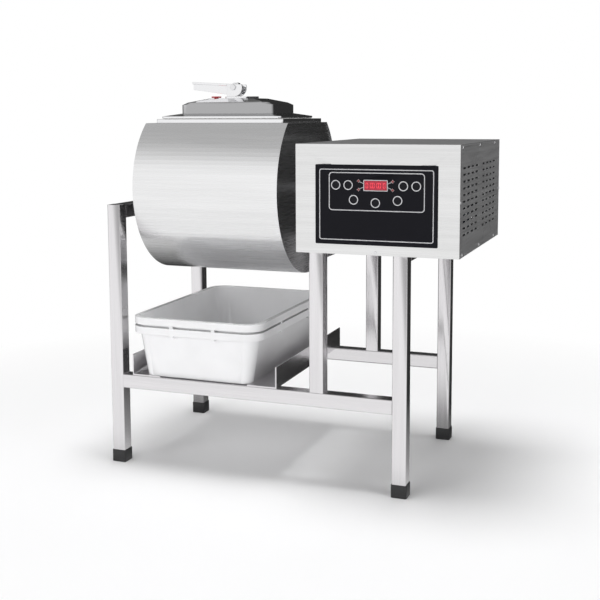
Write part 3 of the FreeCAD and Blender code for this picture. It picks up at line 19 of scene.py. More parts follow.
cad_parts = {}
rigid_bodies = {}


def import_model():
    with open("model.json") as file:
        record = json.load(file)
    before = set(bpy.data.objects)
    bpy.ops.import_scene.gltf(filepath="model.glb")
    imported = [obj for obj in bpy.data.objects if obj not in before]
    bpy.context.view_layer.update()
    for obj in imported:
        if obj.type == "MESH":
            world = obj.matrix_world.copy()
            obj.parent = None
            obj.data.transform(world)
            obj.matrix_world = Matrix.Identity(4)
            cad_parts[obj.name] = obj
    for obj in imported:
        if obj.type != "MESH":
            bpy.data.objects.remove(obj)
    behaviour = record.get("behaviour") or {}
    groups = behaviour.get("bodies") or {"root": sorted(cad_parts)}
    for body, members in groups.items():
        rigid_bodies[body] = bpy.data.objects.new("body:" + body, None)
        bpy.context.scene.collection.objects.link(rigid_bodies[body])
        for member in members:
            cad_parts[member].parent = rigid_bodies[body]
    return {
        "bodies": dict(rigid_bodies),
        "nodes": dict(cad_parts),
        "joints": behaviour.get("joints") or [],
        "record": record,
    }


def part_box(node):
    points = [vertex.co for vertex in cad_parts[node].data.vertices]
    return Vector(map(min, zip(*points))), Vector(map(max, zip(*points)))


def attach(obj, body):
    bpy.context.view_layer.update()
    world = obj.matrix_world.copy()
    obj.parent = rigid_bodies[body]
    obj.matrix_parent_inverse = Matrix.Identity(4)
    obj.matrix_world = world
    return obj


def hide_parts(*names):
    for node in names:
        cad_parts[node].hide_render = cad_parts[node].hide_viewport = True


LOG = logging.getLogger("tumbler")

Point = tuple[float, float, float]
Colour = tuple[float, float, float]


class Body(Enum):
    """The bodies that a piece can ride on."""

    FRAME = "frame"
    DRUM = "drum"
    PINION = "pinion"
    LID = "lid"
    LEVER = "lever"
    STEM = "stem"
    TAP = "tap"
    VALVE = "valve"
    LOWER_TUB = "lower_tub"
    UPPER_TUB = "upper_tub"
    KEY_1 = "key_1"
    KEY_2 = "key_2"
    KEY_3 = "key_3"
    KEY_4 = "key_4"
    KEY_5 = "key_5"
    KEY_6 = "key_6"
    KEY_7 = "key_7"


class Slot(Enum):
    """The record's material slots."""

    SATIN = "satin_steel"
    RUBBER = "black_rubber"
    CASTING = "cast_metal"
    BEARING = "bearing_steel"
    DRUM = "brushed_drum"
    POLISH = "polished_steel"
    SEAL = "white_seal"
    KNOB = "black_plastic"
    RED = "red_plastic"
    TUB = "white_plastic"
    HOUSING = "housing_steel"
    OVERLAY = "overlay_black"
    DISPLAY = "display_red"
    KEY = "key_plastic"
    BOARD = "board_green"
    MOTOR = "motor_paint"
    UNION = "brass_union"


class Grain(Enum):
    """The direction in which a metal face was brushed."""

    ALONG_X = 0
    ALONG_Y = 1
    ALONG_Z = 2


# --------------------------------------------------------------------------- materials


class Tree:
    """A node tree, with short calls for what the materials and the world share."""

    def __init__(self, tree: bpy.types.NodeTree) -> None:
        """Empty the tree.

        Args:
            tree: The tree that is built.
        """
        self.tree = tree
        self.tree.nodes.clear()

    def add(self, kind: str) -> bpy.types.Node:
        """Add a node of that kind and return it."""
        return self.tree.nodes.new(kind)

    def join(self, start: bpy.types.NodeSocket, end: bpy.types.NodeSocket) -> None:
        """Link an output to an input."""
        self.tree.links.new(start, end)

    def level(self, value: bpy.types.NodeSocket, low: float, high: float,
              start: float = 0.3, end: float = 0.7) -> bpy.types.NodeSocket:
        """Map a value from one span onto another.

        Args:
            value: The value to map.
            low: Result at the start.
            high: Result at the end.
            start: Value that gives the low result.
            end: Value that gives the high result.

        Returns:
            The socket with the result.
        """
        span = self.add("ShaderNodeMapRange")
        span.inputs["From Min"].default_value = start
        span.inputs["From Max"].default_value = end
        span.inputs["To Min"].default_value = low
        span.inputs["To Max"].default_value = high
        self.join(value, span.inputs["Value"])
        return span.outputs["Result"]

    def tones(self, value: bpy.types.NodeSocket, *stops: tuple[float, Colour]
              ) -> bpy.types.NodeSocket:
        """Turn a value into a colour that runs through several stops.

        Args:
            value: The value, from 0 to 1.
            stops: Pairs of a place and the colour there, in order.

        Returns:
            The socket with the colour.
        """
        ramp = self.add("ShaderNodeValToRGB")
        spots = ramp.color_ramp.elements
        while len(spots) < len(stops):
            spots.new(0.5)
        for spot, (where, colour) in zip(spots, stops):
            spot.position = where
            spot.color = (*colour, 1.0)
        self.join(value, ramp.inputs["Fac"])
        return ramp.outputs["Color"]


class Graph(Tree):
    """The node tree of one material, with short calls for what the finishes share."""

    def __init__(self, material: bpy.types.Material) -> None:
        """Empty the material's tree and set up its shader.

        Args:
            material: The material whose tree is built.
        """
        material.use_nodes = True
        super().__init__(material.node_tree)
        output = self.add("ShaderNodeOutputMaterial")
        self.surface = self.add("ShaderNodeBsdfPrincipled")
        self.join(self.surface.outputs["BSDF"], output.inputs["Surface"])

    def place(self, scale: Point = (1, 1, 1), centre: Point = (0, 0, 0)) -> bpy.types.NodeSocket:
        """Object coordinates, measured from a centre and stretched.

        Args:
            scale: Stretch along X, Y and Z.
            centre: The point that becomes the origin.

        Returns:
            The socket with the coordinates.
        """
        mapping = self.add("ShaderNodeMapping")
        mapping.inputs["Location"].default_value = [-c * s for c, s in zip(centre, scale)]
        mapping.inputs["Scale"].default_value = scale
        self.join(self.add("ShaderNodeTexCoord").outputs["Object"], mapping.inputs["Vector"])
        return mapping.outputs["Vector"]

    def noise(self, vector: bpy.types.NodeSocket, scale: float, detail: float = 2.0
              ) -> bpy.types.NodeSocket:
        """A noise pattern over a vector.

        Args:
            vector: The coordinates that it reads.
            scale: Cells per unit.
            detail: Octaves.

        Returns:
            The socket with its value, from 0 to 1.
        """
        noise = self.add("ShaderNodeTexNoise")
        noise.inputs["Scale"].default_value = scale
        noise.inputs["Detail"].default_value = detail
        self.join(vector, noise.inputs["Vector"])
        return noise.outputs["Fac"]

    def math(self, kind: str, first: bpy.types.NodeSocket,
             second: bpy.types.NodeSocket | float = 0.0) -> bpy.types.NodeSocket:
        """One step of arithmetic between two values.

        Args:
            kind: The operation's name.
            first: The first value.
            second: The second value, as a socket or a number.

        Returns:
            The socket with the result.
        """
        step = self.add("ShaderNodeMath")
        step.operation = kind
        self.join(first, step.inputs[0])
        if isinstance(second, (int, float)):
            step.inputs[1].default_value = second
        else:
            self.join(second, step.inputs[1])
        return step.outputs["Value"]

    def colour(self, socket: bpy.types.NodeSocket) -> None:
        """Use a colour as the surface's own."""
        self.join(socket, self.surface.inputs["Base Color"])

    def relief(self, height: bpy.types.NodeSocket, strength: float, depth: float) -> None:
        """Press a height pattern into the surface.

        Args:
            height: The pattern.
            strength: How strongly it shows.
            depth: Its depth in metres.
        """
        bump = self.add("ShaderNodeBump")
        bump.inputs["Strength"].default_value = strength
        bump.inputs["Distance"].default_value = depth
        self.join(height, bump.inputs["Height"])
        self.join(bump.outputs["Normal"], self.surface.inputs["Normal"])

    def polish(self, metallic: float, specular: float = 0.5) -> None:
        """Set how much of a metal the surface is, and its plain gloss."""
        self.surface.inputs["Metallic"].default_value = metallic
        self.surface.inputs["Specular IOR Level"].default_value = specular


def shaded(colour: Colour, factor: float) -> Colour:
    """The same colour, lighter or darker by a factor."""
    return tuple(min(1.0, channel * factor) for channel in colour)


@dataclass(frozen=True)
class Finish:
    """What every finish shares."""

    name: str
    slot: Slot
    tone: Colour
    rough: float

    def material(self) -> bpy.types.Material:
        """The finish's material, made the first time that it is asked for.

        Returns:
            The material.
        """
        known = bpy.data.materials.get(self.name)
        if known:
            return known
        made = bpy.data.materials.new(self.name)
        made.diffuse_color = (*self.tone, 1.0)
        self.wire(Graph(made))
        return made

    def wire(self, graph: Graph) -> None:
        """Build the finish's nodes; each kind of finish has its own.

        Args:
            graph: The node tree that they are added to.
        """
        raise NotImplementedError


@dataclass(frozen=True)
class BrushedSteel(Finish):
    """Steel sheet with fine lines and wide soft streaks along its grain."""

    grain: Grain = Grain.ALONG_X
    lines: float = 0.05
    streaks: float = 0.06
    width: float = 900.0
    drawn: float = 6.0
    sweep: tuple[float, float] = (1.6, 60.0)
    swing: float = 0.15

    def across(self, along: float, cross: float) -> Point:
        """Scales for a pattern that is long along the grain and narrow across it."""
        return tuple(along if axis == self.grain.value else cross for axis in range(3))

    def wire(self, graph: Graph) -> None:
        """Wire fine lines into tone, gloss and relief, and wide streaks into tone.

        Args:
            graph: The node tree that the pattern is added to.
        """
        fine = graph.noise(graph.place(self.across(self.drawn, self.width)), 1.0, 3.0)
        wide = graph.noise(graph.place(self.across(*self.sweep)), 1.0, 3.0)
        both = graph.math("ADD", graph.level(fine, -self.lines, self.lines),
                          graph.level(wide, -self.streaks, self.streaks))
        graph.colour(graph.tones(graph.level(both, 0.0, 1.0, -self.swing, self.swing),
                                 (0.0, shaded(self.tone, 1.0 - self.swing)),
                                 (1.0, shaded(self.tone, 1.0 + self.swing))))
        graph.join(graph.level(fine, self.rough - 0.05, self.rough + 0.07),
                   graph.surface.inputs["Roughness"])
        graph.relief(fine, 0.10, 0.0003)
        graph.polish(1.0)


@dataclass(frozen=True)
class TurnedSteel(Finish):
    """Steel with rings of fine lines round an axis along X."""

    centre: Point = (0.0, 0.0, 0.766)
    rings: float = 700.0

    def wire(self, graph: Graph) -> None:
        """Wire rings from the distance to the axis, broken by a slow noise.

        Args:
            graph: The node tree that the pattern is added to.
        """
        flat = graph.place((0.0, 1.0, 1.0), self.centre)
        length = graph.add("ShaderNodeVectorMath")
        length.operation = "LENGTH"
        graph.join(flat, length.inputs[0])
        spread = graph.add("ShaderNodeCombineXYZ")
        graph.join(graph.math("MULTIPLY", length.outputs["Value"], self.rings),
                   spread.inputs["X"])
        graph.join(graph.math("MULTIPLY", graph.noise(flat, 5.0), 2.0), spread.inputs["Y"])
        rings = graph.noise(spread.outputs["Vector"], 1.0, 3.0)
        graph.colour(graph.tones(rings, (0.25, shaded(self.tone, 0.9)),
                                 (0.75, shaded(self.tone, 1.1))))
        graph.join(graph.level(rings, self.rough - 0.05, self.rough + 0.08),
                   graph.surface.inputs["Roughness"])
        graph.relief(rings, 0.10, 0.0003)
        graph.polish(1.0)


@dataclass(frozen=True)
class PolishedSteel(Finish):
    """Bright pressed steel with faint buffing marks."""

    clouds: float = 14.0
    hairs: Point = (12.0, 500.0, 260.0)

    def wire(self, graph: Graph) -> None:
        """Wire soft clouds into tone and crossed hairlines into gloss.

        Args:
            graph: The node tree that the pattern is added to.
        """
        cloud = graph.noise(graph.place(), self.clouds, 3.0)
        hair = graph.noise(graph.place(self.hairs), 1.0, 2.0)
        graph.colour(graph.tones(cloud, (0.3, shaded(self.tone, 0.96)),
                                 (0.7, shaded(self.tone, 1.03))))
        graph.join(graph.level(hair, self.rough - 0.03, self.rough + 0.05),
                   graph.surface.inputs["Roughness"])
        graph.relief(hair, 0.04, 0.0002)
        graph.polish(1.0)


@dataclass(frozen=True)
class Moulding(Finish):
    """Moulded plastic with a fine grain and a slow change of tone."""

    grain: float = 900.0
    depth: float = 0.0002
    gloss: float = 0.5
    metallic: float = 0.0
    clouds: float = 9.0

    def wire(self, graph: Graph) -> None:
        """Wire the moulding grain into relief and gloss, and clouds into tone.

        Args:
            graph: The node tree that the pattern is added to.
        """
        cloud = graph.noise(graph.place(), self.clouds, 2.0)
        grain = graph.noise(graph.place(), self.grain, 2.0)
        graph.colour(graph.tones(cloud, (0.3, shaded(self.tone, 0.965)),
                                 (0.7, shaded(self.tone, 1.02))))
        graph.join(graph.level(grain, self.rough - 0.04, self.rough + 0.05),
                   graph.surface.inputs["Roughness"])
        graph.relief(grain, 0.12, self.depth)
        graph.polish(self.metallic, self.gloss)


@dataclass(frozen=True)
class CastPaint(Finish):
    """Painted casting with a pebbled skin."""

    cells: float = 320.0
    wear: float = 60.0

    def wire(self, graph: Graph) -> None:
        """Wire cells into relief and a worn cloud into tone.

        Args:
            graph: The node tree that the pattern is added to.
        """
        cells = graph.add("ShaderNodeTexVoronoi")
        cells.inputs["Scale"].default_value = self.cells
        graph.join(graph.place(), cells.inputs["Vector"])
        cloud = graph.noise(graph.place(), self.wear, 4.0)
        graph.colour(graph.tones(cloud, (0.35, shaded(self.tone, 0.8)),
                                 (0.65, shaded(self.tone, 1.15))))
        graph.join(graph.level(cloud, self.rough - 0.08, self.rough + 0.08),
                   graph.surface.inputs["Roughness"])
        graph.relief(cells.outputs["Distance"], 0.25, 0.0005)
        graph.polish(0.3)


@dataclass(frozen=True)
class Circuit(Finish):
    """A green board with lighter tracks."""

    pitch: float = 90.0
    track: float = 0.035

    def wire(self, graph: Graph) -> None:
        """Wire a brick pattern as tracks.

        Args:
            graph: The node tree that the pattern is added to.
        """
        tracks = graph.add("ShaderNodeTexBrick")
        tracks.inputs["Scale"].default_value = self.pitch
        tracks.inputs["Mortar Size"].default_value = self.track
        tracks.inputs["Color1"].default_value = (*self.tone, 1.0)
        tracks.inputs["Color2"].default_value = (*shaded(self.tone, 0.8), 1.0)
        tracks.inputs["Mortar"].default_value = (*shaded(self.tone, 1.9), 1.0)
        swap = graph.add("ShaderNodeMapping")
        swap.inputs["Rotation"].default_value = (math.pi / 2, 0.0, 0.0)
        graph.join(graph.place(), swap.inputs["Vector"])
        graph.join(swap.outputs["Vector"], tracks.inputs["Vector"])
        graph.colour(tracks.outputs["Color"])
        graph.relief(tracks.outputs["Fac"], 0.3, 0.0003)
        graph.surface.inputs["Roughness"].default_value = self.rough


@dataclass(frozen=True)
class Glow(Finish):
    """A tinted window or segment that gives off its own light."""

    power: float = 1.0
    cells: float = 260.0

    def wire(self, graph: Graph) -> None:
        """Wire a faint cell grid into tone and light.

        Args:
            graph: The node tree that the pattern is added to.
        """
        grid = graph.add("ShaderNodeTexChecker")
        grid.inputs["Scale"].default_value = self.cells
        grid.inputs["Color1"].default_value = (*self.tone, 1.0)
        grid.inputs["Color2"].default_value = (*shaded(self.tone, 0.82), 1.0)
        graph.join(graph.place(), grid.inputs["Vector"])
        graph.colour(grid.outputs["Color"])
        graph.join(grid.outputs["Color"], graph.surface.inputs["Emission Color"])
        graph.surface.inputs["Emission Strength"].default_value = self.power
        graph.surface.inputs["Roughness"].default_value = self.rough


TUBE_X, TUBE_Y, TUBE_Z = (
    BrushedSteel(f"tube_steel_{letter}", Slot.SATIN, (0.80, 0.785, 0.80), 0.20, grain, 0.03, 0.03)
    for letter, grain in zip("xyz", Grain))
SHELL = BrushedSteel("drum_steel", Slot.DRUM, (0.86, 0.86, 0.865), 0.24, Grain.ALONG_X,
                     0.045, 0.03, 800.0)
# The end plates are the same steel as the shell; their darker tone is painted shade.
SHADED_PLATE = BrushedSteel("end_plate_steel_painted_shade", Slot.DRUM, (0.62, 0.62, 0.625), 0.24, Grain.ALONG_Y,
                     0.05, 0.06)
INSIDE = TurnedSteel("hub_steel", Slot.BEARING, (0.60, 0.60, 0.61), 0.28)
POLISH = PolishedSteel("polished_steel", Slot.POLISH, (0.90, 0.90, 0.905), 0.10)
# The housing is one steel; the side and top sheets take darker tones than the front as painted
# shade.
SHEET_X = BrushedSteel("housing_sheet_x", Slot.HOUSING, (0.80, 0.80, 0.80), 0.30,
                       Grain.ALONG_X, 0.05, 0.04)
SHADED_SHEET_Y = BrushedSteel("housing_sheet_y_painted_shade", Slot.HOUSING, (0.70, 0.70, 0.705), 0.52,
                       Grain.ALONG_Y, 0.05, 0.05)
SHADED_SHEET_TOP = BrushedSteel("housing_sheet_top_painted_shade", Slot.HOUSING, (0.66, 0.66, 0.665), 0.46,
                         Grain.ALONG_X, 0.05, 0.05)
BRIGHT = PolishedSteel("bright_steel", Slot.BEARING, (0.78, 0.78, 0.79), 0.18)
CASTING = CastPaint("casting_paint", Slot.CASTING, (0.16, 0.17, 0.19), 0.45)
MOTOR = CastPaint("motor_paint", Slot.MOTOR, (0.16, 0.20, 0.26), 0.40, 500.0)
CAP = Moulding("cap_rubber", Slot.RUBBER, (0.022, 0.022, 0.023), 0.55, 1400.0, 0.0004)
SEAL = Moulding("seal_silicone", Slot.SEAL, (0.86, 0.86, 0.84), 0.42, 700.0)
TUB = Moulding("tub_plastic", Slot.TUB, (0.93, 0.93, 0.94), 0.22, 420.0, 0.0001)
KNOB = Moulding("knob_plastic", Slot.KNOB, (0.030, 0.030, 0.034), 0.35)
RED = Moulding("button_plastic", Slot.RED, (0.42, 0.03, 0.04), 0.30)
FILM = Moulding("overlay_film", Slot.OVERLAY, (0.007, 0.007, 0.010), 0.38, 1200.0, 0.0001, 0.10)
PRINT = Moulding("overlay_print", Slot.OVERLAY, (0.62, 0.62, 0.64), 0.45, 1500.0, 0.00005)
KEY = Moulding("key_film", Slot.KEY, (0.009, 0.009, 0.012), 0.36, 1200.0, 0.0001, 0.12)
KEY_PRINT = Moulding("key_print", Slot.KEY, (0.66, 0.66, 0.68), 0.45, 1500.0, 0.00005)
WINDOW = Glow("display_window", Slot.DISPLAY, (0.36, 0.015, 0.035), 0.25, 0.35)
DIGIT = Glow("display_digit", Slot.DISPLAY, (0.75, 0.05, 0.08), 0.40, 0.7)
LAMP = Glow("lamp_lens", Slot.RED, (0.25, 0.06, 0.06), 0.25, 0.2)
BOARD = Circuit("board_green", Slot.BOARD, (0.03, 0.22, 0.10), 0.35)
BRASS = PolishedSteel("union_brass", Slot.UNION, (0.72, 0.56, 0.28), 0.25)


# --------------------------------------------------------------------------- workshop


class Workshop:
    """The frame's nodes, and the calls by which a piece joins the model."""

    def __init__(self, frame: dict) -> None:
        """Keep the loaded frame.
        """
        self.nodes: dict[str, bpy.types.Object] = frame["nodes"]
        self.made = 0

    def dress(self, node: str, finish: Finish) -> None:
        """Give a CAD node its finish.

        Args:
            node: The node's name.
            finish: The finish.
        """
        mesh = self.nodes[node].data
        mesh.materials.clear()
        mesh.materials.append(finish.material())

    def keep(self, piece: bpy.types.Object, finish: Finish, body: Body, *replaced: str
             ) -> bpy.types.Object:
        """Hand a finished piece to the model.

        Args:
            piece: The piece, with its place in its mesh.
            finish: The finish that it takes.
            body: The body that it rides on.
            replaced: The CAD nodes that it stands for.

        Returns:
            The piece.
        """
        piece.data.materials.clear()
        piece.data.materials.append(finish.material())
        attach(piece, body.value)
        if replaced:
            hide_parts(*replaced)
        self.made += 1
        LOG.info("%s: %d faces, on %s", piece.name, len(piece.data.polygons), body.value)
        return piece

    def refined(self, node: str, name: str, ease: float, crease: float = 28.0
                ) -> bpy.types.Object:
        """A copy of a CAD node with whole faces, smooth curves and eased edges.

        Args:
            node: The CAD node.
            name: The copy's name.
            ease: Radius of the eased edges, 0 for none.
            crease: Angle in degrees from which an edge counts as sharp.

        Returns:
            The copy, not yet handed over.
        """
        shape = bmesh.new()
        shape.from_mesh(self.nodes[node].data)
        bmesh.ops.remove_doubles(shape, verts=shape.verts, dist=2e-6)
        if ease:
            bmesh.ops.dissolve_limit(shape, angle_limit=math.radians(0.6), verts=shape.verts,
                                     edges=shape.edges)
        return finished(shape, name, ease, crease)

    def renew(self, node: str, name: str, finish: Finish, body: Body, ease: float = 0.0) -> None:
        """Dress a CAD node and let a refined copy stand for it.

        Args:
            node: The CAD node.
            name: The copy's name.
            finish: The finish of both.
            body: The body that the copy rides on.
            ease: Radius of the copy's eased edges, 0 for none.
        """
        self.dress(node, finish)
        self.keep(self.refined(node, name, ease), finish, body, node)


def finished(shape: bmesh.types.BMesh, name: str, ease: float = 0.0, crease: float = 28.0
             ) -> bpy.types.Object:
    """Turn a worked shape into an object with eased edges and smooth curves.

    Args:
        shape: The shape, which is freed.
        name: The object's name.
        ease: Radius of the eased edges, 0 for none.
        crease: Angle in degrees from which an edge counts as sharp.

    Returns:
        The object, linked to the scene.
    """
    mesh = bpy.data.meshes.new(name)
    shape.to_mesh(mesh)
    shape.free()
    mesh.polygons.foreach_set("use_smooth", [True] * len(mesh.polygons))
    piece = bpy.data.objects.new(name, mesh)
    bpy.context.scene.collection.objects.link(piece)
    if ease:
        bevel = piece.modifiers.new("ease", "BEVEL")
        bevel.width = ease
        bevel.segments = 2
        bevel.limit_method = "ANGLE"
        bevel.angle_limit = math.radians(crease)
        bevel.harden_normals = True
        bevel.use_clamp_overlap = True
        settle(piece)
    else:
        mesh.set_sharp_from_angle(angle=math.radians(crease))
    return piece


def settle(piece: bpy.types.Object) -> None:
    """Replace a piece's mesh by what its modifiers give, and drop them.

    Args:
        piece: The piece, which keeps its name and place.
    """
    bpy.context.view_layer.update()
    graph = bpy.context.evaluated_depsgraph_get()
    old = piece.data
    piece.data = bpy.data.meshes.new_from_object(piece.evaluated_get(graph),
                                                 preserve_all_data_layers=True, depsgraph=graph)
    piece.data.name = piece.name
    piece.modifiers.clear()
    bpy.data.meshes.remove(old)


def prism(shape: bmesh.types.BMesh, corners: list[tuple[float, float]], front: float,
          back: float, holes: list[tuple[float, float]] | None = None) -> None:
    """Add a flat closed prism whose outline lies in the XZ plane.

    Args:
        shape: The shape that it is added to.
        corners: The outline's (x, z) corners, in order.
        front: Y of the front face.
        back: Y of the back face.
        holes: The inner outline of a band, with as many corners, or None.
    """
    rings = [corners] if holes is None else [corners, holes]
    loops = [[shape.verts.new((x, y, z)) for x, z in ring] for ring in rings
             for y in (front, back)]
    count = len(corners)
    for index in range(count):
        after = (index + 1) % count
        shape.faces.new((loops[0][index], loops[0][after], loops[1][after], loops[1][index]))
        if holes is not None:
            shape.faces.new((loops[2][after], loops[2][index], loops[3][index], loops[3][after]))
            for face, (outer, inner) in enumerate(((0, 2), (1, 3))):
                ring = (loops[outer][index], loops[outer][after], loops[inner][after],
                        loops[inner][index])
                shape.faces.new(ring if face == 0 else ring[::-1])
    if holes is None:
        shape.faces.new(loops[0])
        shape.faces.new(loops[1][::-1])


def circle(x: float, z: float, radius: float, count: int = 40) -> list[tuple[float, float]]:
    """The corners of a circle in the XZ plane."""
    return [(x + radius * math.cos(2 * math.pi * i / count),
             z + radius * math.sin(2 * math.pi * i / count)) for i in range(count)]


def round_box(left: float, right: float, low: float, high: float, radius: float,
              steps: int = 8) -> list[tuple[float, float]]:
    """The corners of a rectangle with rounded corners in the XZ plane.

    Args:
        left: Lowest X.
        right: Highest X.
        low: Lowest Z.
        high: Highest Z.
        radius: Corner radius.
        steps: Faces in each corner.

    Returns:
        The corners, counter-clockwise.
    """
    spots = []
    for index, (x, z) in enumerate(((right - radius, high - radius), (left + radius, high - radius),
                                    (left + radius, low + radius), (right - radius, low + radius))):
        for step in range(steps + 1):
            turn = math.pi / 2 * (index + step / steps)
            spots.append((x + radius * math.cos(turn), z + radius * math.sin(turn)))
    return spots


def stroke(start: tuple[float, float], end: tuple[float, float], width: float
           ) -> list[tuple[float, float]]:
    """The corners of a straight line of some width in the XZ plane.

    Args:
        start: The (x, z) start.
        end: The (x, z) end.
        width: The line's width.

    Returns:
        The four corners, in order.
    """
    along = Vector((end[0] - start[0], end[1] - start[1])).normalized() * (width / 2)
    side = Vector((-along.y, along.x))
    first, last = Vector(start), Vector(end)
    return [tuple(first - side), tuple(last - side), tuple(last + side), tuple(first + side)]


def mended(shape: bmesh.types.BMesh) -> bmesh.types.BMesh:
    """The same shape with its doubles merged and its faces pointing outwards.

    Args:
        shape: The shape, which is changed.

    Returns:
        The shape.
    """
    bmesh.ops.remove_doubles(shape, verts=shape.verts, dist=1e-6)
    bmesh.ops.recalc_face_normals(shape, faces=shape.faces)
    return shape


# --------------------------------------------------------------------------- grown pieces


class Grower:
    """A Geometry Nodes tree, built step by step and baked into plain meshes."""

    def __init__(self, name: str, **inputs: float) -> None:
        """Start a tree with named inputs.

        Args:
            name: The tree's name.
            inputs: The name and value of each size that the tree reads.
        """
        self.tree = bpy.data.node_groups.new(name, "GeometryNodeTree")
        self.tree.interface.new_socket("Geometry", in_out="INPUT", socket_type="NodeSocketGeometry")
        self.values = inputs
        for label in inputs:
            self.tree.interface.new_socket(label, in_out="INPUT", socket_type="NodeSocketFloat")
        self.tree.interface.new_socket("Geometry", in_out="OUTPUT", socket_type="NodeSocketGeometry")
        self.start = self.add("NodeGroupInput")
        self.end = self.add("NodeGroupOutput")

    def add(self, kind: str, **settings: object) -> bpy.types.Node:
        """Add a node and set its own settings.

        Args:
            kind: The node's type.
            settings: Attributes of the node.

        Returns:
            The node.
        """
        node = self.tree.nodes.new(kind)
        for label, value in settings.items():
            setattr(node, label, value)
        return node

    def join(self, start: bpy.types.NodeSocket, end: bpy.types.NodeSocket) -> None:
        """Link an output to an input."""
        self.tree.links.new(start, end)

    def size(self, label: str) -> bpy.types.NodeSocket:
        """The socket of a named input."""
        return self.start.outputs[label]

    def close(self, geometry: bpy.types.NodeSocket, finish: Finish) -> None:
        """End the tree: instances become real and take the finish.

        Args:
            geometry: The last geometry.
            finish: The finish of the grown faces.
        """
        real = self.add("GeometryNodeRealizeInstances")
        paint = self.add("GeometryNodeSetMaterial")
        paint.inputs["Material"].default_value = finish.material()
        self.join(geometry, real.inputs["Geometry"])
        self.join(real.outputs["Geometry"], paint.inputs["Geometry"])
        self.join(paint.outputs["Geometry"], self.end.inputs["Geometry"])

    def grow(self, name: str, points: list[Point], edges: list[tuple[int, int]] | None = None
             ) -> bpy.types.Object:
        """Run the tree over some points and bake the result.

        Args:
            name: The piece's name.
            points: The points that the tree reads.
            edges: Pairs of points that are joined, or None.

        Returns:
            The baked piece.
        """
        seed = bpy.data.meshes.new(name)
        seed.from_pydata(points, edges or [], [])
        piece = bpy.data.objects.new(name, seed)
        bpy.context.scene.collection.objects.link(piece)
        modifier = piece.modifiers.new("grow", "NODES")
        modifier.node_group = self.tree
        for item in self.tree.interface.items_tree:
            if item.in_out == "INPUT" and item.name in self.values:
                modifier[item.identifier] = self.values[item.name]
        settle(piece)
        piece.data.polygons.foreach_set("use_smooth", [True] * len(piece.data.polygons))
        piece.data.set_sharp_from_angle(angle=math.radians(35))
        return piece


# --------------------------------------------------------------------------- assemblies


Part = tuple[str, str, Finish, Body, float]


@dataclass
class Assembly:
    """What every sub-assembly shares."""

    def parts(self) -> list[Part]:
        """The CAD nodes that are renewed: node, copy's name, finish, body, eased radius."""
        raise NotImplementedError

    def build(self, shop: Workshop) -> None:
        """Renew the parts.

        Args:
            shop: The workshop.
        """
        for part in self.parts():
            shop.renew(*part)


@dataclass
class Stand(Assembly):
    """The open frame of square tube with its rubber caps."""

    bead: float = 0.0011
    bead_overlap: float = 0.9
    bead_inset: float = 0.004
    tube_edge: float = 0.0
    cap_edge: float = 0.0012
    legs: tuple[str, ...] = ("leg_front_left", "leg_rear_left", "leg_front_right",
                             "leg_rear_right", "mid_posts")
    long_rails: tuple[str, ...] = ("rail_front_low", "rail_rear_low")
    cross_rails: tuple[str, ...] = ("rail_left_top", "rail_mid_top", "rail_right_top",
                                    "runner_left", "runner_right")

    def parts(self) -> list[Part]:
        """The tubes and runners, brushed along their length, and the caps."""
        tubes = [(name, f"{name}_tube", finish, Body.FRAME, self.tube_edge)
                 for names, finish in ((self.legs, TUBE_Z), (self.long_rails, TUBE_X),
                                       (self.cross_rails, TUBE_Y)) for name in names]
        return tubes + [("foot_caps", "foot_cap_mouldings", CAP, Body.FRAME, self.cap_edge)]

    def build(self, shop: Workshop) -> None:
        """Renew the parts and lay the weld beads.

        Args:
            shop: The workshop.
        """
        super().build(shop)
        shop.keep(self.welds(), TUBE_Z, Body.FRAME)

    def welds(self) -> bpy.types.Object:
        """Rippled weld beads along the lower seams of the long rails' ends.

        Returns:
            The beads as one piece.
        """
        grower = Grower("weld_bead", Radius=self.bead,
                        Pitch=self.bead * self.bead_overlap)
        curve = grower.add("GeometryNodeMeshToCurve")
        spaced = grower.add("GeometryNodeResampleCurve", mode="LENGTH")
        drop = grower.add("GeometryNodeMeshIcoSphere")
        drop.inputs["Subdivisions"].default_value = 2
        beads = grower.add("GeometryNodeInstanceOnPoints")
        grower.join(grower.start.outputs["Geometry"], curve.inputs["Mesh"])
        grower.join(curve.outputs["Curve"], spaced.inputs["Curve"])
        grower.join(grower.size("Pitch"), spaced.inputs["Length"])
        grower.join(grower.size("Radius"), drop.inputs["Radius"])
        grower.join(spaced.outputs["Curve"], beads.inputs["Points"])
        grower.join(drop.outputs["Mesh"], beads.inputs["Instance"])
        grower.close(beads.outputs["Instances"], TUBE_Z)
        points: list[Point] = []
        edges: list[tuple[int, int]] = []
        for rail in self.long_rails:
            low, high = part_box(rail)
            for x in (low.x, high.x):
                for z in (low.z, high.z):
                    points += [(x, low.y + self.bead_inset, z), (x, high.y - self.bead_inset, z)]
                    edges.append((len(points) - 2, len(points) - 1))
        return grower.grow("rail_weld_beads", points, edges)


@dataclass
class Bearings(Assembly):
    """Pillow blocks, inserts and bolts that carry the drum, and their pedestal."""

    casting_edge: float = 0.0015
    ring_edge: float = 0.0005
    bolt_edge: float = 0.0006
    plate_edge: float = 0.0008

    def parts(self) -> list[Part]:
        """The castings, the inserts, the bolts and the pedestal."""
        return [
            ("bearing_housings", "pillow_block_castings", CASTING, Body.FRAME, self.casting_edge),
            ("bearing_inserts", "bearing_rings", INSIDE, Body.FRAME, self.ring_edge),
            ("bearing_bolts", "bearing_bolt_heads", BRIGHT, Body.FRAME, self.bolt_edge),
            ("bearing_pedestal", "pedestal_plates", TUBE_Y, Body.FRAME, self.plate_edge)
        ]


# --------------------------------------------------------------------------- drum and lid


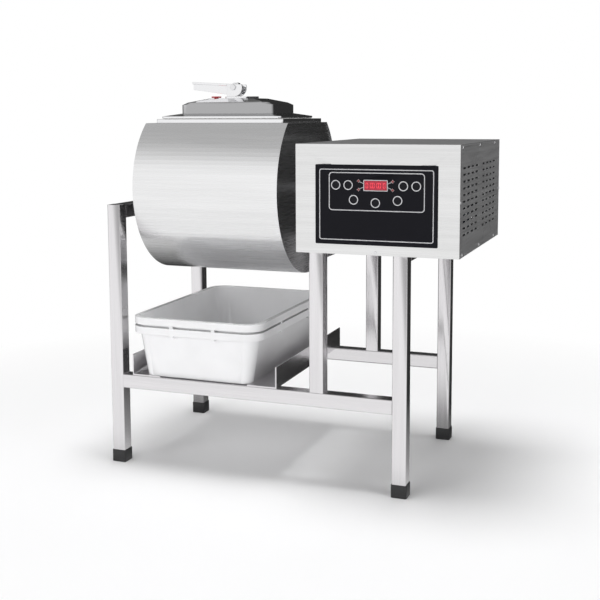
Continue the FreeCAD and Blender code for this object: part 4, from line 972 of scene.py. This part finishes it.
@dataclass
class Drum(Assembly):
    """The tumbling drum with its end plates, neck, paddles and shafts."""

    sheet_edge: float = 0.0
    neck_edge: float = 0.0012
    paddle_edge: float = 0.0004
    shaft_edge: float = 0.0008

    def parts(self) -> list[Part]:
        """The turning pieces."""
        return [
            ("drum_shell", "drum_wrap", SHELL, Body.DRUM, self.sheet_edge),
            # The end plates take the darker tone of painted shade.
            ("drum_end_left", "left_end_plate", SHADED_PLATE, Body.DRUM, self.sheet_edge),
            ("drum_end_right", "right_end_plate", SHADED_PLATE, Body.DRUM, self.sheet_edge),
            ("mouth_frame", "mouth_neck", POLISH, Body.DRUM, self.neck_edge),
            ("drum_paddles", "paddle_sheets", SHELL, Body.DRUM, self.paddle_edge),
            ("stub_shaft", "stub_shaft_turned", INSIDE, Body.DRUM, self.shaft_edge),
            ("drive_shaft", "drive_shaft_turned", INSIDE, Body.DRUM, self.shaft_edge),
            ("drum_gear", "drum_gear_teeth", INSIDE, Body.DRUM, self.sheet_edge)
        ]


@dataclass
class Lid(Assembly):
    """The pressed lid with its gasket, lever, vent stem, tap and release button."""

    pan_edge: float = 0.0
    part_edge: float = 0.0008
    grip_edge: float = 0.0010
    turned_edge: float = 0.0003

    def parts(self) -> list[Part]:
        """The lid's pieces, each on its own body."""
        return [
            ("lid_pan", "lid_pressing", POLISH, Body.LID, self.pan_edge),
            ("lid_gasket", "lid_seal", SEAL, Body.LID, self.part_edge),
            ("lever_base", "lever_bracket", POLISH, Body.LID, self.part_edge),
            ("lever_handle", "lever_pressing", POLISH, Body.LEVER, self.grip_edge),
            ("lever_bolt", "lever_pivot_bolt", BRIGHT, Body.LEVER, self.turned_edge),
            ("vent_stem", "vent_stem_turned", BRIGHT, Body.STEM, self.turned_edge),
            ("vacuum_tap", "tap_knob", KNOB, Body.TAP, self.grip_edge),
            ("release_valve", "release_button", RED, Body.VALVE, self.part_edge)
        ]


@dataclass
class CatchTubs(Assembly):
    """The two nested plastic tubs, whose corners are round already."""

    edge: float = 0.0

    def parts(self) -> list[Part]:
        """Both tubs, each on its own body."""
        return [(body.value, f"{body.value}_moulding", TUB, body, self.edge)
                for body in (Body.LOWER_TUB, Body.UPPER_TUB)]


# --------------------------------------------------------------------------- housing


@dataclass
class Housing(Assembly):
    """The folded sheet housing with its screws and its cable gland."""

    sheet_edge: float = 0.0
    screw_edge: float = 0.0003
    gland_edge: float = 0.0005

    def parts(self) -> list[Part]:
        """The walls, brushed along their length, with the side and top walls in darker tones as
        painted shade, the screws and the gland.
        """
        walls = [(f"housing_{side}", f"housing_{side}_sheet", finish, Body.FRAME, self.sheet_edge)
                 for side, finish in (("floor", SHEET_X), ("front", SHEET_X), ("rear", SHEET_X),
                                      ("left", SHADED_SHEET_Y), ("right", SHADED_SHEET_Y), ("top", SHADED_SHEET_TOP))]
        return walls + [
            ("panel_screws", "panel_screw_heads", BRIGHT, Body.FRAME, self.screw_edge),
            ("cable_gland", "gland_moulding", CAP, Body.FRAME, self.gland_edge)]


@dataclass
class Panel(Assembly):
    """The control overlay with its print, keys, lamps and display."""

    film: float = 0.00015
    sunk: float = 0.0002
    line: float = 0.0022
    centre_x: float = 0.278
    centre_z: float = 0.7456
    border_half: tuple[float, float] = (0.1475, 0.0895)
    border_round: float = 0.006
    inner_x: tuple[float, float] = (-0.122, 0.125)
    inner_z: tuple[float, float] = (-0.0146, 0.0814)
    inner_round: float = 0.009
    display_z: float = 0.795
    lamp_rise: float = 0.0107
    lamp_inset: float = 0.0030
    leader_inset: float = 0.0005
    leader_gap: float = 0.0022
    leader_rise: float = 0.0045
    leader_line: float = 0.0012
    diamond: tuple[float, float] = (0.0044, 0.0030)
    pane_margin: tuple[float, float] = (0.0022, 0.0004)
    pane_round: tuple[float, float] = (0.002, 0.0008)
    digits: int = 6
    digit_half: float = 0.0024
    digit_tall: float = 0.0058
    digit_bar: float = 0.0012
    digit_shift: float = 0.0015
    ring: tuple[float, float] = (0.93, 0.76)
    flat_edge: float = 0.0
    key_edge: float = 0.0003
    keys: int = 7

    def parts(self) -> list[Part]:
        """The overlay, the display and the lamps."""
        return [
            ("control_overlay", "overlay_sheet", FILM, Body.FRAME, self.flat_edge),
            ("display_window", "display_pane", WINDOW, Body.FRAME, self.flat_edge),
            ("indicator_lamps", "lamp_lenses", LAMP, Body.FRAME, self.flat_edge)]

    def build(self, shop: Workshop) -> None:
        """Renew the parts, dress the board, and add the print and the keys.

        Args:
            shop: The workshop.
        """
        super().build(shop)
        shop.dress("control_board", BOARD)
        shop.keep(self.frames(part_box("control_overlay")[0].y), PRINT, Body.FRAME)
        shop.keep(self.numerals(), DIGIT, Body.FRAME)
        for number in range(1, self.keys + 1):
            self.key(shop, Body(f"key_{number}"))

    def frames(self, face: float) -> bpy.types.Object:
        """The printed borders, the display's frame and the lamps' leader lines.

        Args:
            face: Y of the overlay's face.

        Returns:
            The print as one piece.
        """
        shape = bmesh.new()
        x, z, line = self.centre_x, self.centre_z, self.line
        front, back = face - self.film, face + self.sunk
        half_x, half_z = self.border_half
        border = (x - half_x, x + half_x, z - half_z, z + half_z, self.border_round)
        inner = (x + self.inner_x[0], x + self.inner_x[1], z + self.inner_z[0],
                 z + self.inner_z[1], self.inner_round)
        for left, right, low, high, radius in (border, inner):
            prism(shape, round_box(left, right, low, high, radius), front, back,
                  round_box(left + line, right - line, low + line, high - line, radius - line))
        lamps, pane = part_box("indicator_lamps"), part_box("display_window")
        for side, lamp_x, pane_x in ((-1, lamps[0].x, pane[0].x), (1, lamps[1].x, pane[1].x)):
            for rise in (-1, 1):
                level = self.display_z + rise * self.lamp_rise
                tip = (lamp_x - side * self.leader_inset, level)
                edge = (pane_x + side * self.leader_gap, self.display_z + rise * self.leader_rise)
                prism(shape, stroke(tip, edge, self.leader_line), front, back)
                outer, hole = (circle(lamp_x - side * self.lamp_inset, level, radius, 4)
                               for radius in self.diamond)
                prism(shape, outer, front, back, hole)
        outer, hole = (round_box(pane[0].x - margin, pane[1].x + margin, pane[0].z - margin,
                                 pane[1].z + margin, radius)
                       for margin, radius in zip(self.pane_margin, self.pane_round))
        prism(shape, outer, front, back, hole)
        return finished(mended(shape), "overlay_print_lines")

    def numerals(self) -> bpy.types.Object:
        """Plain zeros of six bars each on the display.

        Returns:
            The bars as one piece.
        """
        low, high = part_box("display_window")
        shape = bmesh.new()
        front, back = low.y - self.film, low.y + self.sunk
        pitch = (high.x - low.x) / (self.digits + 1)
        half, tall, gap = self.digit_half, self.digit_tall, self.digit_bar / 2
        z = (low.z + high.z) / 2
        for index in range(self.digits):
            shift = self.digit_shift if index % 2 else -self.digit_shift
            x = low.x + pitch * (index + 1) + shift
            for start, end in (((x - half, z + tall), (x + half, z + tall)),
                               ((x - half, z - tall), (x + half, z - tall)),
                               ((x - half, z - tall), (x - half, z - gap)),
                               ((x - half, z + gap), (x - half, z + tall)),
                               ((x + half, z - tall), (x + half, z - gap)),
                               ((x + half, z + gap), (x + half, z + tall))):
                prism(shape, stroke(start, end, self.digit_bar), front, back)
        bmesh.ops.recalc_face_normals(shape, faces=shape.faces)
        return finished(shape, "display_numerals")

    def key(self, shop: Workshop, body: Body) -> None:
        """Dress one key and print its ring.

        Args:
            shop: The workshop.
            body: The key's body, which is named as its node is.
        """
        node = body.value
        shop.renew(node, f"{node}_dome", KEY, body, self.key_edge)
        low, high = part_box(node)
        x, z, radius = (low.x + high.x) / 2, (low.z + high.z) / 2, (high.x - low.x) / 2
        outer, hole = (circle(x, z, radius * share) for share in self.ring)
        shape = bmesh.new()
        prism(shape, outer, low.y - self.film, low.y + self.sunk, hole)
        shop.keep(finished(mended(shape), f"{node}_ring"), KEY_PRINT, body)


@dataclass
class Drive(Assembly):
    """The pinion, gear motor, pump and suction line inside the housing."""

    turned_edge: float = 0.0003
    case_edge: float = 0.0015
    union_edge: float = 0.0004
    pipe_edge: float = 0.0

    def parts(self) -> list[Part]:
        """The drive and the suction line."""
        return [
            ("pinion_shaft", "pinion_turned", INSIDE, Body.PINION, self.turned_edge),
            ("gear_motor", "gear_motor_case", MOTOR, Body.FRAME, self.case_edge),
            ("vacuum_pump", "vacuum_pump_case", MOTOR, Body.FRAME, self.case_edge),
            ("rotary_union", "rotary_union_body", BRASS, Body.FRAME, self.union_edge),
            ("vacuum_pipe", "vacuum_pipe_run", BRASS, Body.FRAME, self.pipe_edge)
        ]


# --------------------------------------------------------------------------- studio


@dataclass(frozen=True)
class Lamp:
    """One soft square lamp: its place, its target, its side and its power in watts."""

    name: str
    place: Point
    target: Point
    side: float
    power: float

    def hang(self) -> None:
        """Hang the lamp where no mirror finish shows it."""
        light = bpy.data.lights.new(self.name, "AREA")
        light.shape = "SQUARE"
        light.size = self.side
        light.energy = self.power
        lamp = bpy.data.objects.new(self.name, light)
        lamp.location = self.place
        aim = Vector(self.target) - Vector(self.place)
        lamp.rotation_euler = aim.to_track_quat("-Z", "Y").to_euler()
        lamp.visible_glossy = False
        bpy.context.scene.collection.objects.link(lamp)


@dataclass
class Studio:
    """Floor, light and camera."""

    eye: Point = (0.9905, -2.6918, 0.9728)
    yaw: float = 20.665
    pitch: float = 6.408
    roll: float = -0.227
    lens: float = 61.095
    shift: float = -0.12
    floor_radius: float = 1.9
    fade_start: float = 0.75
    floor_tone: Colour = (0.95, 0.95, 0.955)
    # Span along Y and stops of the floor's painted reflection, which only glossy rays see.
    painted_reflection_span: tuple[float, float] = (-0.5, 0.6)
    painted_reflection_stops: tuple[tuple[float, float], ...] = ((0.0, 0.95), (0.45, 0.30), (1.0, 0.03))
    fill: float = 0.30
    ceiling: float = 0.48
    ceiling_span: tuple[float, float] = (0.42, 0.80)
    room_stops: tuple[tuple[float, float], ...] = ((0.0, 1.0), (0.40, 0.95), (0.62, 0.55),
                                                   (0.80, 0.14), (0.92, 0.03))
    sensor: float = 36.0
    lamps: tuple[Lamp, ...] = (
        Lamp("top_lamp", (-0.2, -0.1, 4.6), (0.0, 0.0, 0.0), 1.6, 118.0),
        Lamp("front_lamp", (-1.6, -4.2, 1.3), (0.0, 0.0, 0.6), 3.0, 84.0),
        Lamp("side_lamp", (4.2, -1.2, 1.3), (0.0, 0.0, 0.6), 2.5, 44.0),
        Lamp("back_lamp", (0.4, 4.4, 1.6), (0.0, 0.0, 0.6), 2.5, 46.0))

    def build(self) -> None:
        """Lay the floor, hang the lamps and place the camera."""
        self.floor()
        self.sky()
        for lamp in self.lamps:
            lamp.hang()
        self.camera()

    def floor(self) -> None:
        """A pale floor that keeps the shadow and ends in the white backdrop; to glossy rays it shows
        a painted reflection, bright in front and dark behind.
        """
        shape = bmesh.new()
        bmesh.ops.create_circle(shape, cap_ends=True, segments=128, radius=self.floor_radius)
        mesh = bpy.data.meshes.new("studio_floor")
        shape.to_mesh(mesh)
        shape.free()
        floor = bpy.data.objects.new("studio_floor", mesh)
        bpy.context.scene.collection.objects.link(floor)
        material = bpy.data.materials.new("studio_floor")
        graph = Graph(material)
        graph.surface.inputs["Base Color"].default_value = (*self.floor_tone, 1.0)
        graph.surface.inputs["Roughness"].default_value = 1.0
        graph.surface.inputs["Specular IOR Level"].default_value = 0.0
        path = graph.add("ShaderNodeLightPath")
        output = next(n for n in graph.tree.nodes if n.type == "OUTPUT_MATERIAL")
        reach = graph.add("ShaderNodeVectorMath")
        reach.operation = "LENGTH"
        graph.join(graph.place(), reach.inputs[0])
        rim = graph.math("MULTIPLY", graph.level(reach.outputs["Value"], 0.0, 1.0,
                                                 self.fade_start, self.floor_radius * 0.98),
                         path.outputs["Is Camera Ray"])
        spread = graph.add("ShaderNodeSeparateXYZ")
        graph.join(graph.place(), spread.inputs["Vector"])
        glow = graph.add("ShaderNodeEmission")
        # To glossy rays the floor glows as a painted reflection, bright in front and dark behind.
        painted_reflection = graph.add("ShaderNodeEmission")
        graph.join(graph.tones(graph.level(spread.outputs["Y"], 0.0, 1.0, *self.painted_reflection_span),
                               *((where, (shade,) * 3) for where, shade in self.painted_reflection_stops)),
                   painted_reflection.inputs["Color"])
        first, second = graph.add("ShaderNodeMixShader"), graph.add("ShaderNodeMixShader")
        graph.join(path.outputs["Is Glossy Ray"], first.inputs["Fac"])
        graph.join(graph.surface.outputs["BSDF"], first.inputs[1])
        graph.join(painted_reflection.outputs["Emission"], first.inputs[2])
        graph.join(rim, second.inputs["Fac"])
        graph.join(first.outputs["Shader"], second.inputs[1])
        graph.join(glow.outputs["Emission"], second.inputs[2])
        graph.join(second.outputs["Shader"], output.inputs["Surface"])
        mesh.materials.append(material)

    def sky(self) -> None:
        """White for what looks straight at it, even light, and a room for the reflections."""
        world = bpy.data.worlds.new("studio_room")
        bpy.context.scene.world = world
        world.use_nodes = True
        tree = Tree(world.node_tree)
        path = tree.add("ShaderNodeLightPath")
        white, even, room = (tree.add("ShaderNodeBackground") for _ in range(3))
        white.inputs["Color"].default_value = (1.0, 1.0, 1.0, 1.0)
        even.inputs["Color"].default_value = (self.fill, self.fill, self.fill, 1.0)
        axes = tree.add("ShaderNodeSeparateXYZ")
        tree.join(tree.add("ShaderNodeTexCoord").outputs["Generated"], axes.inputs["Vector"])
        blend = tree.add("ShaderNodeMix")
        blend.data_type = "RGBA"
        around, above = blend.inputs[6], blend.inputs[7]
        tree.join(tree.level(axes.outputs["Z"], 0.0, 1.0, *self.ceiling_span),
                  blend.inputs["Factor"])
        tree.join(tree.tones(tree.level(axes.outputs["Y"], 0.0, 1.0, -1.0, 1.0),
                             *((where, (shade,) * 3) for where, shade in self.room_stops)), around)
        above.default_value = (self.ceiling, self.ceiling, self.ceiling, 1.0)
        tree.join(blend.outputs[2], room.inputs["Color"])
        shader = even
        for ray, seen in (("Is Glossy Ray", room), ("Is Camera Ray", white)):
            mix = tree.add("ShaderNodeMixShader")
            tree.join(path.outputs[ray], mix.inputs["Fac"])
            tree.join(shader.outputs[0], mix.inputs[1])
            tree.join(seen.outputs[0], mix.inputs[2])
            shader = mix
        tree.join(shader.outputs[0], tree.add("ShaderNodeOutputWorld").inputs["Surface"])

    def camera(self) -> None:
        """Place the camera that the main render looks through."""
        yaw, pitch, roll = (math.radians(v) for v in (self.yaw, self.pitch, self.roll))
        ahead = Vector((-math.sin(yaw) * math.cos(pitch), math.cos(yaw) * math.cos(pitch),
                        -math.sin(pitch)))
        right = Vector((math.cos(yaw), math.sin(yaw), 0.0))
        up = right.cross(ahead)
        across = right * math.cos(roll) + up * math.sin(roll)
        above = up * math.cos(roll) - right * math.sin(roll)
        turn = Matrix((across, above, -ahead)).transposed().to_4x4()
        lens = bpy.data.cameras.new("studio_camera")
        lens.lens = self.lens
        lens.sensor_width = self.sensor
        lens.shift_y = self.shift
        camera = bpy.data.objects.new("studio_camera", lens)
        camera.matrix_world = Matrix.Translation(self.eye) @ turn
        bpy.context.scene.collection.objects.link(camera)
        bpy.context.scene.camera = camera


def main() -> None:
    """Dress the whole machine and set up its studio."""
    logging.basicConfig(level=logging.INFO, format="%(message)s")
    shop = Workshop(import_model())
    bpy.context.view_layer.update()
    for assembly in (Stand(), Bearings(), Drum(), Lid(), CatchTubs(), Housing(), Panel(), Drive()):
        assembly.build(shop)
        LOG.info("%s done, %d pieces so far", type(assembly).__name__, shop.made)
    Studio().build()
    scene = bpy.context.scene
    scene.view_settings.view_transform = "Standard"


if __name__ == "__main__":
    main()
